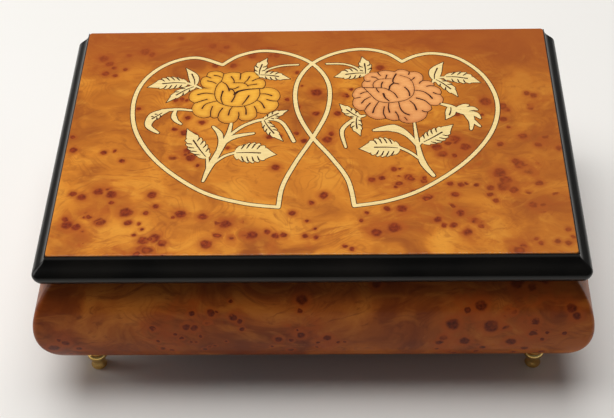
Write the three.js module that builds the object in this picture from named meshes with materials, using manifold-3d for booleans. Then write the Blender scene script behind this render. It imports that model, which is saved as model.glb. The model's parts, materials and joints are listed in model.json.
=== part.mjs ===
// Wind-up music box: a hinged wooden jewellery case with a marquetry lid and an 18-note movement.
// Millimetres, +Z up, front towards -Y. The origin is on the table under the middle of the box.
import * as THREE from "three";
import { mergeVertices } from "three/addons/utils/BufferGeometryUtils.js";
import Module from "manifold-3d";

const wasm = await Module();
wasm.setup();

// ---------- driving dimensions ----------
const TOP = 69.5; // height of the veneered lid top
const PANEL_WIDTH = 192; // veneered lid panel
const PANEL_DEPTH = 134;
const LID_THICKNESS = 10.7;
const VENEER = 0.8;
const BULGE = 8.3; // how far the case swells beyond the lid panel
const BULGE_RADIUS = 28.1;
const BULGE_HEIGHT = 35.1; // height of the fullest part of the case
const FOOT_HEIGHT = 16.5;
const WALL_INSET = 11; // inner wall face, inside the lid panel's edge
const BACK_WALL = 8;
const BOARD = 4; // bottom board
const SEAM = 0.3; // gap between the closed lid and the case
const JOINT = 0.1; // glue line
const CLEAR = 0.3; // gap between loose pieces
const BARREL_RADIUS = 1.3; // hinge knuckles
const BARREL_OFFSET = 1.5; // hinge axis behind the back face
const LEAF_WIDTH = 24; // hinge leaves
const LEAF_DEPTH = 7;
const LEAF_THICKNESS = 0.8;
const HINGE_X = 55; // hinges' middles, either side of the box's middle
const KNUCKLES = 3;
const PIN_RADIUS = 0.5;
const BORE_RADIUS = 0.65;
const FOOT_INSET = 10.6; // foot centre, inside the lid panel's side edge
const FOOT_Y_INSET = 8.5; // foot centre, inside the lid panel's front and back edges
const INLAY = 0.15; // inlay plates
const INLAY_GAP = 0.12; // gap round an inlay where two meet
const HEART_WIDTH = 1.7;
const LINING = 1.2; // velvet on the walls
const FELT = 1; // velvet on the floor
const LID_PAD = 1.4;
const LID_PAD_MARGIN = 1.5; // from the case's inner faces
const PAD_GAP = 0.2; // glue behind the lid's pad and under its edge strips
const WALL_LINING_DROP = 2.4; // lining's edge below the lid
const DIVIDER = 3;
const DIVIDER_TOP = 50;
const CELL_RIGHT = -16; // right side of the movement's cell
const CELL_FRONT = 6.5; // front side of the movement's cell
const COVER = 1.9; // clear cover over the movement's cell
const ROLL_COUNT = 4;
const ROLL_PITCH = 12.2;
const ROLL_TOP = 42;
const SLACK = 1; // how far a cutting tool runs past what it cuts

// ---------- derived positions ----------
const DEPTH = BULGE + PANEL_DEPTH + BARREL_OFFSET + BARREL_RADIUS;
const FRONT = -DEPTH / 2 + BULGE; // front edge of the lid panel
const BACK = FRONT + PANEL_DEPTH;
const HALF = PANEL_WIDTH / 2;
const LID_UNDER = TOP - LID_THICKNESS;
const RIM = LID_UNDER - SEAM;
const HINGE_Y = BACK + BARREL_OFFSET;
const HINGE_Z = RIM + SEAM / 2;
const INNER_X = HALF - WALL_INSET;
const INNER_FRONT = FRONT + WALL_INSET;
const INNER_BACK = BACK - BACK_WALL;
const FLOOR = FOOT_HEIGHT + BOARD; // top of the bottom board
const INLAY_LOW = TOP - INLAY; // top of the burl sheet, which carries the inlay plates

// ---------- movement: driving dimensions ----------
const DRUM_X = -65; // spring drum and winding arbor
const DRUM_Y = 30;
const DRUM_RADIUS = 12;
const DRUM_TOP = 40;
const DRUM_WALL = 0.9;
const KEY_HOLE_RADIUS = 4.5;
const KEY_GAP = 0.8; // from the bottom board down to the key
const KEY_LOW = 2.6;
const WINDER_RADIUS = 1.8;
const BED_THICKNESS = 1.8;
const CROWN_TEETH = 36;
const CROWN_RADIUS = 15.2; // where the pinion meets the crown wheel
const CROWN_HEIGHT = 2.7;
const PINION_TEETH = 16;
const MESH_DEPTH = 0.9; // how deep the pinion's teeth reach among the crown's
const CROWN_PLAY = 0.4; // from the pinion's pitch line to the crown's
const CYLINDER_RADIUS = 6.5;
const CYLINDER_LENGTH = 18.6;
const CYLINDER_TEETH = 40;
const WHEEL_PINION_TEETH = 10;
const GEAR_MODULE = 0.4;
const GEAR_PLAY = 0.1;
const WORM_WHEEL_TEETH = 24;
const WORM_PITCH = 1.5;
const WORM_HALF = 4.4; // half the worm's length
const WORM_TIP = 1.95;
const WORM_TO_WHEEL = 1.7; // worm's axis from the wheel's pitch circle
const THREAD_HALF = 0.22; // half the thread's width at its root
const THREAD_INSET = 0.2; // thread's start above the worm's low end
const FLY_HEIGHT = 3.6;
const FLY_RADIUS = 3.3;
const ARBOR_RADIUS = 1.1;
const COMB_TEETH = 18;
const COMB_SCREW_BACK = 15.3; // comb screws in front of the cylinder's axis
const TIP_GAP = 1.15; // from the cylinder's surface to the comb's tips
const SCREW_RADIUS = 1.3;
const SMALL_SCREW_RADIUS = 0.9;
const MOUNT_SCREWS = [[DRUM_X + 24, DRUM_Y - 14], [DRUM_X - 12, DRUM_Y + 20]];
const PIVOT_RADIUS = 0.8;
const WIRE_RADIUS = 0.45;

// ---------- movement: derived heights and radii ----------
const BED = FLOOR + JOINT;
const BED_TOP = BED + BED_THICKNESS;
const CROWN_LOW = BED_TOP + CLEAR;
const CROWN_TIP = CROWN_LOW + CROWN_HEIGHT;
const PINION_RADIUS = (CROWN_RADIUS * PINION_TEETH) / CROWN_TEETH;
const CYLINDER_Z = CROWN_TIP + PINION_RADIUS - MESH_DEPTH / 2 + CROWN_PLAY;
const WHEEL_RADIUS = (WORM_PITCH * WORM_WHEEL_TEETH) / (2 * Math.PI);
const GEAR_RADIUS = (GEAR_MODULE * CYLINDER_TEETH) / 2;
const SMALL_RADIUS = (GEAR_MODULE * WHEEL_PINION_TEETH) / 2;
const WHEEL_Y = DRUM_Y + GEAR_RADIUS + SMALL_RADIUS + GEAR_PLAY;
const KEY_TOP = FOOT_HEIGHT - KEY_GAP;
const WORM_LOW = CYLINDER_Z - WORM_HALF;
const WORM_HIGH = CYLINDER_Z + WORM_HALF;
const FLY_LOW = WORM_HIGH + 1.6;
const FLY_HIGH = FLY_LOW + FLY_HEIGHT;
// The thread passes the wheel's middle height on the wheel's side, midway between two teeth.
const THREAD_START = WORM_LOW + THREAD_INSET + THREAD_HALF - WORM_PITCH / 2;
const WORM_PHASE = -Math.PI / 2 - (2 * Math.PI * (CYLINDER_Z - THREAD_START)) / WORM_PITCH;

// ---------- movement: stations from the drum's axis ----------
const PINION_X = DRUM_X + CROWN_RADIUS - 1.1;
const BRACKET_X = PINION_X + 2.9;
const CYLINDER_X = BRACKET_X + 1.4;
const CYLINDER_END = CYLINDER_X + CYLINDER_LENGTH;
const GEAR_X = CYLINDER_END + 1.7;
const WHEEL_X = GEAR_X + 3.4;
const BED_END = GEAR_X + 8.6;
const WORM_X = WHEEL_X + 0.8;
const WORM_Y = WHEEL_Y + WHEEL_RADIUS + WORM_TO_WHEEL;
const WIRE_X = WORM_X;
const WIRE_Y = WORM_Y + 4;
const PIVOT_Y = WIRE_Y + 3; // stop wire's pivot
const PIVOT_Z = CYLINDER_Z + 1.4;
const COMB_SCREW_Y = DRUM_Y - COMB_SCREW_BACK;
const COMB_SCREWS = [CYLINDER_X + 4, CYLINDER_END - 4];

// ---------- colours and finishes ----------
const finish = (color, roughness, metalness = 0) =>
  new THREE.MeshStandardMaterial({ color, roughness, metalness });
const BURL = finish(0xc87d2d, 0.25);
const BURL_DARK = finish(0x6e3c19, 0.25);
const LACQUER = finish(0x15110f, 0.15);
const CREAM = finish(0xebd282, 0.4);
const GOLD = finish(0xeba53c, 0.4);
const SALMON = finish(0xeba05f, 0.4);
const PLAIN_WOOD = finish(0x7a4a26, 0.6);
const VELVET = finish(0x7c1220, 0.95);
const BRASS = finish(0xc9a24a, 0.3, 1);
const STEEL = finish(0x9aa0a6, 0.3, 1);
const ZINC = finish(0xb9b7ae, 0.45, 1);
const CLEAR_PLASTIC = finish(0xe8f0f2, 0.1);

const model = new THREE.Group();
model.name = "music_box";

function place(name, geometry, material) {
  const mesh = new THREE.Mesh(geometry, material);
  mesh.name = name;
  model.add(mesh);
  return mesh;
}

// ---------- solids ----------
function toSolid(geometry) {
  const bare = geometry.index ? geometry.toNonIndexed() : geometry.clone();
  bare.deleteAttribute("normal");
  bare.deleteAttribute("uv");
  const welded = mergeVertices(bare, 1e-4);
  const mesh = new wasm.Mesh({
    numProp: 3,
    vertProperties: new Float32Array(welded.attributes.position.array),
    triVerts: new Uint32Array(welded.index.array),
  });
  return new wasm.Manifold(mesh);
}

function toGeometry(solid) {
  const mesh = solid.getMesh();
  const geometry = new THREE.BufferGeometry();
  geometry.setAttribute("position", new THREE.BufferAttribute(mesh.vertProperties, 3));
  geometry.setIndex(new THREE.BufferAttribute(mesh.triVerts, 1));
  return geometry;
}

const join = (pieces) =>
  toGeometry(pieces.map(toSolid).reduce((whole, piece) => whole.add(piece)));

const cut = (base, tools) =>
  toGeometry(tools.map(toSolid).reduce((rest, tool) => rest.subtract(tool), toSolid(base)));

// Box from its lowest to its highest corner.
function block(low, high) {
  const size = high.map((value, axis) => value - low[axis]);
  const box = new THREE.BoxGeometry(...size);
  return box.translate(...low.map((value, axis) => value + size[axis] / 2));
}

// Upright round bar about (x, y), from z0 to z1.
function rod(x, y, z0, z1, radius, sides = 24, topRadius = radius) {
  const bar = new THREE.CylinderGeometry(topRadius, radius, z1 - z0, sides);
  return bar.rotateX(Math.PI / 2).translate(x, y, (z0 + z1) / 2);
}

// Round bar along X about (y, z), from x0 to x1.
function axle(y, z, x0, x1, radius, sides = 24) {
  const bar = new THREE.CylinderGeometry(radius, radius, x1 - x0, sides);
  return bar.rotateZ(Math.PI / 2).translate((x0 + x1) / 2, y, z);
}

// Flat plate of a 2-D outline in plan, from z0 to z1.
function plate(outline, z0, z1) {
  const shape = new THREE.Shape(outline);
  const solid = new THREE.ExtrudeGeometry(shape, { depth: z1 - z0, bevelEnabled: false });
  return solid.translate(0, 0, z0);
}

const point = (x, y) => new THREE.Vector2(x, y);

// ---------- mitred edge pieces ----------
// Profiles hold (outward, z) points: outward is measured from the lid panel's edge.
const SIDES = {
  front: { start: -HALF, end: HALF, at: ([out, z], along) => [along, FRONT - out, z] },
  left: { start: -BACK, end: -FRONT, at: ([out, z], along) => [-HALF - out, -along, z] },
  right: { start: FRONT, end: BACK, at: ([out, z], along) => [HALF + out, along, z] },
};

// Sweeps a profile along one side. Front corners are mitred, back ends are square.
function edgePiece(profile, side) {
  const { start, end, at } = SIDES[side];
  const mitred = { front: [true, true], left: [false, true], right: [true, false] }[side];
  const near = (out) => (mitred[0] ? start - out + JOINT / 2 : start);
  const far = (out) => (mitred[1] ? end + out - JOINT / 2 : end);
  const faces = THREE.ShapeUtils.triangulateShape(profile.map(([out, z]) => point(out, z)), []);
  const count = profile.length;
  const positions = [
    ...profile.map((corner) => at(corner, near(corner[0]))),
    ...profile.map((corner) => at(corner, far(corner[0]))),
  ].flat();
  const index = [];
  for (const [a, b, c] of faces) {
    index.push(a, b, c, c + count, b + count, a + count);
  }
  for (let i = 0; i < count; i++) {
    const next = (i + 1) % count;
    index.push(i, i + count, next + count, i, next + count, next);
  }
  const piece = new THREE.BufferGeometry();
  piece.setAttribute("position", new THREE.Float32BufferAttribute(positions, 3));
  piece.setIndex(index);
  return piece;
}

// ---------- case ----------
function bulgeOutward(z) {
  return BULGE - BULGE_RADIUS + Math.sqrt(BULGE_RADIUS ** 2 - (z - BULGE_HEIGHT) ** 2);
}

function caseProfile() {
  const steps = 24;
  const profile = [[-WALL_INSET, RIM], [-WALL_INSET, FOOT_HEIGHT]];
  for (let i = 0; i <= steps; i++) {
    const z = FOOT_HEIGHT + ((RIM - FOOT_HEIGHT) * i) / steps;
    profile.push([bulgeOutward(z), z]);
  }
  return profile;
}

function hingePocket(x, z0, z1) {
  return block(
    [x - LEAF_WIDTH / 2 - JOINT, BACK - LEAF_DEPTH - JOINT, z0],
    [x + LEAF_WIDTH / 2 + JOINT, BACK + SLACK, z1],
  );
}

function buildCase() {
  const profile = caseProfile();
  for (const side of ["front", "left", "right"]) {
    place(`${side}_panel`, edgePiece(profile, side), BURL_DARK);
  }
  const pockets = [-HINGE_X, HINGE_X].map((x) =>
    hingePocket(x, RIM - LEAF_THICKNESS - JOINT, RIM + SLACK));
  const back = block(
    [-INNER_X + JOINT, INNER_BACK, FOOT_HEIGHT],
    [INNER_X - JOINT, BACK, RIM],
  );
  place("back_panel", cut(back, pockets), PLAIN_WOOD);
  const board = block(
    [-INNER_X + JOINT, INNER_FRONT + JOINT, FOOT_HEIGHT],
    [INNER_X - JOINT, INNER_BACK - JOINT, FLOOR],
  );
  const bottom = FOOT_HEIGHT - SLACK;
  const top = FLOOR + SLACK;
  const holes = [rod(DRUM_X, DRUM_Y, bottom, top, KEY_HOLE_RADIUS, 32)];
  for (const [x, y] of MOUNT_SCREWS) {
    holes.push(rod(x, y, bottom, top, SCREW_RADIUS + JOINT, 16));
  }
  place("bottom_board", cut(board, holes), PLAIN_WOOD);
}

// ---------- feet ----------
function buildFeet() {
  // Turned profile, (radius, height) from the bottom pad to the top flange.
  const turned = [
    [0, 0], [2.6, 0], [3.1, 0.8], [2.5, 3.6], [2.7, 5.4], [3.9, 7.4], [3.1, 9.4],
    [4.1, 12.4], [5.2, 14.4], [5.2, FOOT_HEIGHT - JOINT], [0, FOOT_HEIGHT - JOINT],
  ].map(([radius, height]) => point(radius, height));
  const rows = { front: FRONT + FOOT_Y_INSET, rear: BACK - FOOT_Y_INSET };
  for (const [row, y] of Object.entries(rows)) {
    for (const [side, sign] of [["left", -1], ["right", 1]]) {
      const foot = new THREE.LatheGeometry(turned, 14).rotateX(Math.PI / 2);
      const x = sign * (HALF - FOOT_INSET);
      place(`foot_${row}_${side}`, foot.translate(x, y, 0), BRASS);
    }
  }
}

// ---------- lid ----------
function moldingProfile() {
  const under = LID_UNDER + PAD_GAP;
  const nose = new THREE.Path();
  nose.moveTo(0.45, TOP - 1.4);
  nose.bezierCurveTo(1.2, TOP - 3.9, 4.6, TOP - 4.6, 5.4, TOP - 6.9);
  nose.bezierCurveTo(5.6, TOP - 8.2, 4.9, TOP - 9.4, 4.1, under);
  const outer = nose.getPoints(9).map((p) => [p.x, p.y]);
  return [[JOINT / 2, TOP - 1.35], [JOINT / 2, under], ...outer.reverse()];
}

function buildLid() {
  const under = TOP - VENEER - JOINT / 2;
  const core = block([-HALF, FRONT, LID_UNDER], [HALF, BACK, under]);
  const pockets = [-HINGE_X, HINGE_X].map((x) =>
    hingePocket(x, LID_UNDER - SLACK, LID_UNDER + LEAF_THICKNESS + JOINT));
  place("lid_panel", cut(core, pockets), PLAIN_WOOD);
  const profile = moldingProfile();
  for (const side of ["front", "left", "right"]) {
    place(`molding_${side}`, edgePiece(profile, side), LACQUER);
  }
  const x = INNER_X - LID_PAD_MARGIN;
  const padTop = LID_UNDER - PAD_GAP;
  place("lid_lining", block(
    [-x, INNER_FRONT + LID_PAD_MARGIN, padTop - LID_PAD],
    [x, INNER_BACK - LID_PAD_MARGIN, padTop],
  ), VELVET);
}

// ---------- marquetry ----------
// Plan points are (x, distance behind the panel's front edge).
const plan = ([x, y]) => point(x, FRONT + y);

// Ribbon round a smooth line through plan points; widths run evenly from start to end.
function ribbon(points, widths, grow, z0, z1) {
  const steps = 2 * points.length;
  const line = new THREE.SplineCurve(points.map(plan));
  const left = [];
  const right = [];
  for (let i = 0; i <= steps; i++) {
    const t = i / steps;
    const spot = t * (widths.length - 1);
    const low = Math.min(Math.floor(spot), widths.length - 2);
    const width = widths[low] + (widths[low + 1] - widths[low]) * (spot - low);
    const at = line.getPoint(t);
    const along = line.getTangent(t);
    const reach = width / 2 + grow;
    const end = i === 0 ? -grow : i === steps ? grow : 0;
    const x = at.x + along.x * end;
    const y = at.y + along.y * end;
    left.push(point(x - along.y * reach, y + along.x * reach));
    right.unshift(point(x + along.y * reach, y - along.x * reach));
  }
  return plate([...left, ...right], z0, z1);
}

// Leaf from its stem end to its tip, bowed sideways by bend.
function leaf({ from, to, width, bend = 0 }, grow, z0, z1) {
  const base = plan(from);
  const axis = plan(to).sub(base);
  const length = axis.length();
  axis.normalize();
  const across = point(-axis.y, axis.x);
  const steps = 6;
  const side = (sign) => {
    const edge = [];
    for (let i = 1; i < steps; i++) {
      const t = i / steps;
      const full = Math.sin(Math.PI * t ** 0.85) ** 0.8;
      const reach = sign * ((width * full) / 2 + grow);
      const sway = bend * Math.sin(Math.PI * t);
      edge.push(base.clone().addScaledVector(axis, t * length).addScaledVector(across, reach + sway));
    }
    return edge;
  };
  const start = base.clone().addScaledVector(axis, -grow);
  const tip = base.clone().addScaledVector(axis, length + 2 * grow);
  return plate([start, ...side(-1), tip, ...side(1).reverse()], z0, z1);
}

const HEARTS = {
  left: {
    outer: [[-38, 111], [-49.5, 116], [-61, 111.8], [-69.5, 101], [-72.5, 86], [-69.5, 68],
      [-59, 49.8], [-42, 34], [-26, 27.2], [-12.3, 24.8]],
    inner: [[-38, 111], [-31.5, 117], [-21.5, 120.2], [-9.5, 117.4], [0.5, 109.5], [6, 97],
      [5.6, 81], [0.5, 65.5], [-6.3, 50], [-11, 36.5], [-12.3, 24.8]],
  },
  right: {
    outer: [[36, 112], [42.2, 116], [50, 117.2], [60, 113.2], [69.3, 101], [73.2, 84],
      [69.5, 66.5], [58.5, 49.3], [42.5, 34.8], [29, 28], [16, 25.2]],
    inner: [[36, 112], [29.5, 118], [19.5, 120.7], [8.3, 118], [-1.5, 110.5], [-7, 98],
      [-6.7, 82], [-1.2, 66.5], [7.3, 52.3], [13.6, 39.5], [16, 25.2]],
  },
};

// One heart of stringing, joined at its notch and its tip.
function heartPieces({ outer, inner }, grow, z0, z1) {
  const knots = [outer[0], outer[outer.length - 1]].map((at) => {
    const { x, y } = plan(at);
    return rod(x, y, z0, z1, HEART_WIDTH / 2 + grow, 8);
  });
  const widths = [HEART_WIDTH, HEART_WIDTH];
  return [ribbon(outer, widths, grow, z0, z1), ribbon(inner, widths, grow, z0, z1), ...knots];
}

// Petal lobes, [x, y, radius], round a broad centre.
const FLOWERS = {
  left: [[-33, 90, 12], [-41.5, 102.3, 4.6], [-34, 101.4, 4.8], [-26, 101.2, 4.9],
    [-23.6, 96.5, 3.9], [-17.8, 91, 4.6], [-18.4, 85.2, 4.6], [-22.3, 82, 4.3], [-26, 79.4, 4.6],
    [-34.2, 79, 5.3], [-42.2, 82.6, 5.3], [-45.2, 86, 4], [-45, 91.5, 5], [-42.6, 97, 4.6]],
  right: [[33.5, 90, 12], [25.4, 101.3, 4.5], [31, 101.5, 3.8], [36.4, 101.7, 5], [41.6, 99.5, 4.6],
    [45.6, 95.3, 4.2], [46.4, 89.8, 5], [44.3, 83.4, 5], [39.2, 78.4, 5.6], [31, 80, 5.2],
    [24.4, 81.2, 5.2], [20.2, 86, 4.6], [20.2, 90.8, 4.6], [24.4, 96.6, 4.5]],
};

function flowerPieces(lobes, grow, z0, z1) {
  return lobes.map((lobe) => {
    const { x, y } = plan(lobe);
    return rod(x, y, z0, z1, lobe[2] + grow, 12);
  });
}

// Each sprig is a set of stems and leaves that meet.
const SPRIGS = {
  sprig_left_outer: {
    stems: [[[[-45.9, 95.6], [-49, 97.8], [-53.5, 99.8]], [0.8, 1.4]]],
    leaves: [
      { from: [-48.6, 97.4], to: [-53, 109], width: 4, bend: -1.2 },
      { from: [-51.5, 99], to: [-67.8, 96.6], width: 8, bend: -1.5 },
      { from: [-48.2, 97.2], to: [-59.2, 86.8], width: 4.2, bend: -1 },
    ],
  },
  sprig_left_inner: {
    stems: [[[[-22.8, 103.8], [-19, 107.6], [-13.5, 110], [-6.8, 110.6]], [0.9, 0.9]]],
    leaves: [
      { from: [-22.6, 103.4], to: [-19.6, 115.2], width: 5, bend: 1 },
      { from: [-22.8, 104.2], to: [-9.8, 101.2], width: 5.4, bend: 0.6 },
    ],
  },
  sprig_left_side: {
    stems: [
      [[[-48.6, 81.6], [-54, 82.4], [-60.5, 81.6]], [0.9, 1.7]],
      [[[-55, 82.2], [-55.6, 78.8], [-54.6, 75.6], [-52.3, 73.2]], [1, 2.2, 0.8]],
      [[[-58.5, 81.8], [-63.6, 78.4], [-65.2, 72.4], [-61, 68]], [2, 4.2, 2.4, 1]],
    ],
    leaves: [{ from: [-60, 80.6], to: [-66.5, 74.2], width: 3.2 }],
  },
  sprig_left_lower: {
    stems: [
      [[[-41.3, 39.4], [-39.6, 46.5], [-36.2, 57], [-33.4, 66], [-32.4, 73.4]], [0.9, 2.4, 2, 1]],
      [[[-33.8, 64.5], [-27.5, 71.8], [-19.5, 75.6], [-12.5, 73.8], [-7.4, 62.2]], [1.2, 1.4, 1.4, 1.4]],
      [[[-36.2, 58.8], [-31.5, 64.8], [-23.3, 67.2]], [0.9, 2.2, 1]],
      [[[-38.8, 48.5], [-34, 53.8], [-28.5, 56.2]], [1, 1.2]],
      [[[-40, 45.6], [-40.4, 51.5], [-41.2, 57]], [1, 1.2]],
      [[[-37.6, 53.5], [-36, 61], [-36.6, 67], [-39.4, 71.4]], [0.8, 1.6, 2.2, 1]],
    ],
    leaves: [
      { from: [-19.6, 75], to: [-10.2, 81.2], width: 4.2, bend: 0.5 },
      { from: [-19.8, 75.8], to: [-11.6, 62.4], width: 4.6, bend: -0.8 },
      { from: [-30.4, 55.6], to: [-14, 54.4], width: 12, bend: 0.6 },
      { from: [-40.6, 52.6], to: [-49.6, 70.2], width: 7.6, bend: 0.6 },
    ],
  },
  sprig_right_inner: {
    stems: [[[[20.4, 104.2], [16.6, 108.6], [11.5, 110.8], [5, 111]], [0.9, 0.9]]],
    leaves: [
      { from: [20.8, 103.4], to: [19.6, 115.4], width: 5.2, bend: -0.6 },
      { from: [21, 104.6], to: [8.2, 102.2], width: 7, bend: -0.8 },
    ],
  },
  sprig_right_outer: {
    stems: [[[[48.2, 98.2], [49.4, 100.8], [54.5, 101.4]], [0.8, 1.3]]],
    leaves: [
      { from: [48.8, 99.6], to: [53, 111.4], width: 5, bend: 1.2 },
      { from: [52.8, 101.6], to: [67.4, 97.6], width: 7.4, bend: 1.4 },
      { from: [48.8, 100.4], to: [57.8, 88.8], width: 4.6, bend: 1 },
    ],
  },
  sprig_right_side: {
    stems: [
      [[[50.6, 84.4], [54.5, 82.6], [57.5, 79.8], [61.5, 77.5]], [1, 2.4, 1.4]],
      [[[56, 81], [59, 80.8], [62.2, 76], [64.2, 72]], [1.2, 4, 4.2, 1]],
    ],
    leaves: [
      { from: [54.6, 82.2], to: [52.8, 75], width: 3.6, bend: 0.6 },
      { from: [57, 79.6], to: [61.8, 84.4], width: 3.4 },
      { from: [62.6, 77.2], to: [61.4, 67.8], width: 3.4, bend: -0.4 },
    ],
  },
  sprig_right_branch: {
    stems: [[[[20.2, 77.4], [16.4, 75.4], [11.4, 68.6], [12.8, 58.4]], [1, 1.6, 1.6, 0.9]]],
    leaves: [
      { from: [18.6, 76], to: [10.4, 84.8], width: 4.8, bend: 0.5 },
      { from: [17.4, 77.2], to: [18.6, 65.2], width: 4.4, bend: -1 },
    ],
  },
  sprig_right_lower: {
    stems: [
      [[[46, 41.6], [42.3, 49], [40.7, 59], [39.8, 72.6]], [1.4, 2.4, 1.6, 0.8]],
      [[[41, 58], [37, 65.4], [31.4, 69.6], [23.8, 68.4]], [1, 2.2, 4.2, 1]],
      [[[41.8, 50.4], [37.5, 55.2], [32.4, 58.8]], [1, 1.3]],
      [[[40.8, 59], [42.4, 61.4], [44.6, 63]], [1, 1.2]],
    ],
    leaves: [
      { from: [33.8, 57.6], to: [18, 57.4], width: 11.6, bend: -0.8 },
      { from: [42.2, 60.6], to: [54.8, 71.4], width: 8.4, bend: -0.6 },
    ],
  },
};

function sprigPieces({ stems, leaves }, grow, z0, z1) {
  return [
    ...stems.map(([points, widths]) => ribbon(points, widths, grow, z0, z1)),
    ...leaves.map((each) => leaf(each, grow, z0, z1)),
  ];
}

function buildMarquetry() {
  const makers = [];
  for (const [side, heart] of Object.entries(HEARTS)) {
    makers.push([`inlay_heart_${side}`, CREAM, (...size) => heartPieces(heart, ...size)]);
  }
  makers.push(["inlay_flower_left", GOLD, (...size) => flowerPieces(FLOWERS.left, ...size)]);
  makers.push(["inlay_flower_right", SALMON, (...size) => flowerPieces(FLOWERS.right, ...size)]);
  for (const [name, sprig] of Object.entries(SPRIGS)) {
    makers.push([`inlay_${name}`, CREAM, (...size) => sprigPieces(sprig, ...size)]);
  }
  const inlays = makers.map(([, , make]) => toSolid(join(make(0, INLAY_LOW, TOP))));
  const slots = makers.map(([, , make]) => join(make(INLAY_GAP, INLAY_LOW, TOP + SLACK)));
  // The hearts pass over and under each other, so each is cut once by the other.
  const between = FRONT + 90;
  const above = toSolid(block([-HALF, between, 0], [HALF, BACK, 2 * TOP]));
  const below = toSolid(block([-HALF, FRONT, 0], [HALF, between, 2 * TOP]));
  inlays[1] = inlays[1].subtract(toSolid(slots[0]).intersect(above));
  inlays[0] = inlays[0].subtract(toSolid(slots[1]).intersect(below));
  // Leaves and stems stop short of the flowers and of the hearts, which come first.
  const sprigsFrom = 4;
  for (let i = sprigsFrom; i < inlays.length; i++) {
    for (const slot of slots.slice(0, sprigsFrom)) {
      inlays[i] = inlays[i].subtract(toSolid(slot));
    }
  }
  makers.forEach(([name, material], i) => place(name, toGeometry(inlays[i]), material));
  place("lid_veneer", block([-HALF, FRONT, TOP - VENEER], [HALF, BACK, INLAY_LOW]), BURL);
}

// ---------- butt hinges ----------
// A leaf let into the wood, with the knuckles whose number is odd or even.
function hingeLeaf(x, z0, parity) {
  const z1 = z0 + LEAF_THICKNESS;
  const pieces = [block(
    [x - LEAF_WIDTH / 2, BACK - LEAF_DEPTH, z0],
    [x + LEAF_WIDTH / 2, BACK - 0.2, z1],
  )];
  const pitch = LEAF_WIDTH / KNUCKLES;
  for (let i = parity; i < KNUCKLES; i += 2) {
    const start = x - LEAF_WIDTH / 2 + i * pitch + (i ? CLEAR / 2 : 0);
    const end = x - LEAF_WIDTH / 2 + (i + 1) * pitch - (i < KNUCKLES - 1 ? CLEAR / 2 : 0);
    pieces.push(block([start, BACK - 0.4, z0], [end, HINGE_Y, z1]));
    pieces.push(axle(HINGE_Y, HINGE_Z, start, end, BARREL_RADIUS, 14));
  }
  const bore = axle(HINGE_Y, HINGE_Z, x - LEAF_WIDTH, x + LEAF_WIDTH, BORE_RADIUS, 10);
  return cut(join(pieces), [bore]);
}

function buildHinges() {
  for (const [side, x] of [["left", -HINGE_X], ["right", HINGE_X]]) {
    place(`hinge_leaf_lid_${side}`, hingeLeaf(x, LID_UNDER, 1), BRASS);
    place(`hinge_leaf_case_${side}`, hingeLeaf(x, RIM - LEAF_THICKNESS, 0), BRASS);
    const pin = axle(HINGE_Y, HINGE_Z, x - LEAF_WIDTH / 2, x + LEAF_WIDTH / 2, PIN_RADIUS, 10);
    place(`hinge_pin_${side}`, pin, STEEL);
  }
}

// ---------- lining, compartments and ring rolls ----------
// Faces of the linings' hollow, and the heights they start from.
const LINED_X = INNER_X - JOINT - LINING - JOINT;
const LINED_FRONT = INNER_FRONT + JOINT + LINING + JOINT;
const LINED_BACK = INNER_BACK - JOINT - LINING - JOINT;
const FELT_LOW = FLOOR + JOINT;
const FELT_TOP = FELT_LOW + FELT;
const CELL_LOW = CELL_FRONT - DIVIDER; // front face of the cross divider
const LONG_RIGHT = CELL_RIGHT + DIVIDER; // right face of the long divider

function buildLinings() {
  const wallTop = LID_UNDER - WALL_LINING_DROP;
  const outer = block(
    [-LINED_X - LINING - JOINT, LINED_FRONT - LINING - JOINT, FELT_LOW],
    [LINED_X + LINING + JOINT, LINED_BACK + LINING + JOINT, wallTop],
  );
  const hollow = block(
    [-LINED_X - JOINT, LINED_FRONT - JOINT, 0],
    [LINED_X + JOINT, LINED_BACK + JOINT, TOP],
  );
  place("wall_lining", cut(outer, [hollow]), VELVET);
  const felt = block([-LINED_X, LINED_FRONT, FELT_LOW], [LINED_X, LINED_BACK, FELT_TOP]);
  const cell = block(
    [-LINED_X - SLACK, CELL_LOW - JOINT, 0],
    [LONG_RIGHT + JOINT, LINED_BACK + SLACK, TOP],
  );
  place("floor_lining", cut(felt, [cell]), VELVET);
}

function buildDividers() {
  // The long divider stands on the board along the cell and on the felt in front of it.
  const overFelt = block(
    [CELL_RIGHT, LINED_FRONT, FELT_TOP + JOINT],
    [LONG_RIGHT, LINED_BACK, DIVIDER_TOP],
  );
  const alongCell = block([CELL_RIGHT, CELL_LOW, FELT_LOW], [LONG_RIGHT, LINED_BACK, DIVIDER_TOP]);
  place("divider_long", join([overFelt, alongCell]), VELVET);
  place("divider_cross", block(
    [-LINED_X, CELL_LOW, FELT_LOW],
    [CELL_RIGHT - JOINT, CELL_FRONT, DIVIDER_TOP],
  ), VELVET);
}

function buildRingRolls() {
  for (let i = 0; i < ROLL_COUNT; i++) {
    const y0 = LINED_BACK - CLEAR - (i + 1) * ROLL_PITCH;
    const roll = ringRoll(LONG_RIGHT + CLEAR, LINED_X - CLEAR, y0, FELT_TOP + CLEAR);
    place(`ring_roll_${i + 1}`, roll, VELVET);
  }
}

function buildCover() {
  const low = DIVIDER_TOP + JOINT;
  const cover = block([-LINED_X, CELL_LOW, low], [LONG_RIGHT, LINED_BACK, low + COVER]);
  const halfSlot = 1.2;
  const slot = block([WIRE_X - halfSlot, WIRE_Y - 5, 0], [WIRE_X + halfSlot, WIRE_Y + 4, TOP]);
  place("movement_cover", cut(cover, [slot]), CLEAR_PLASTIC);
}

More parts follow.
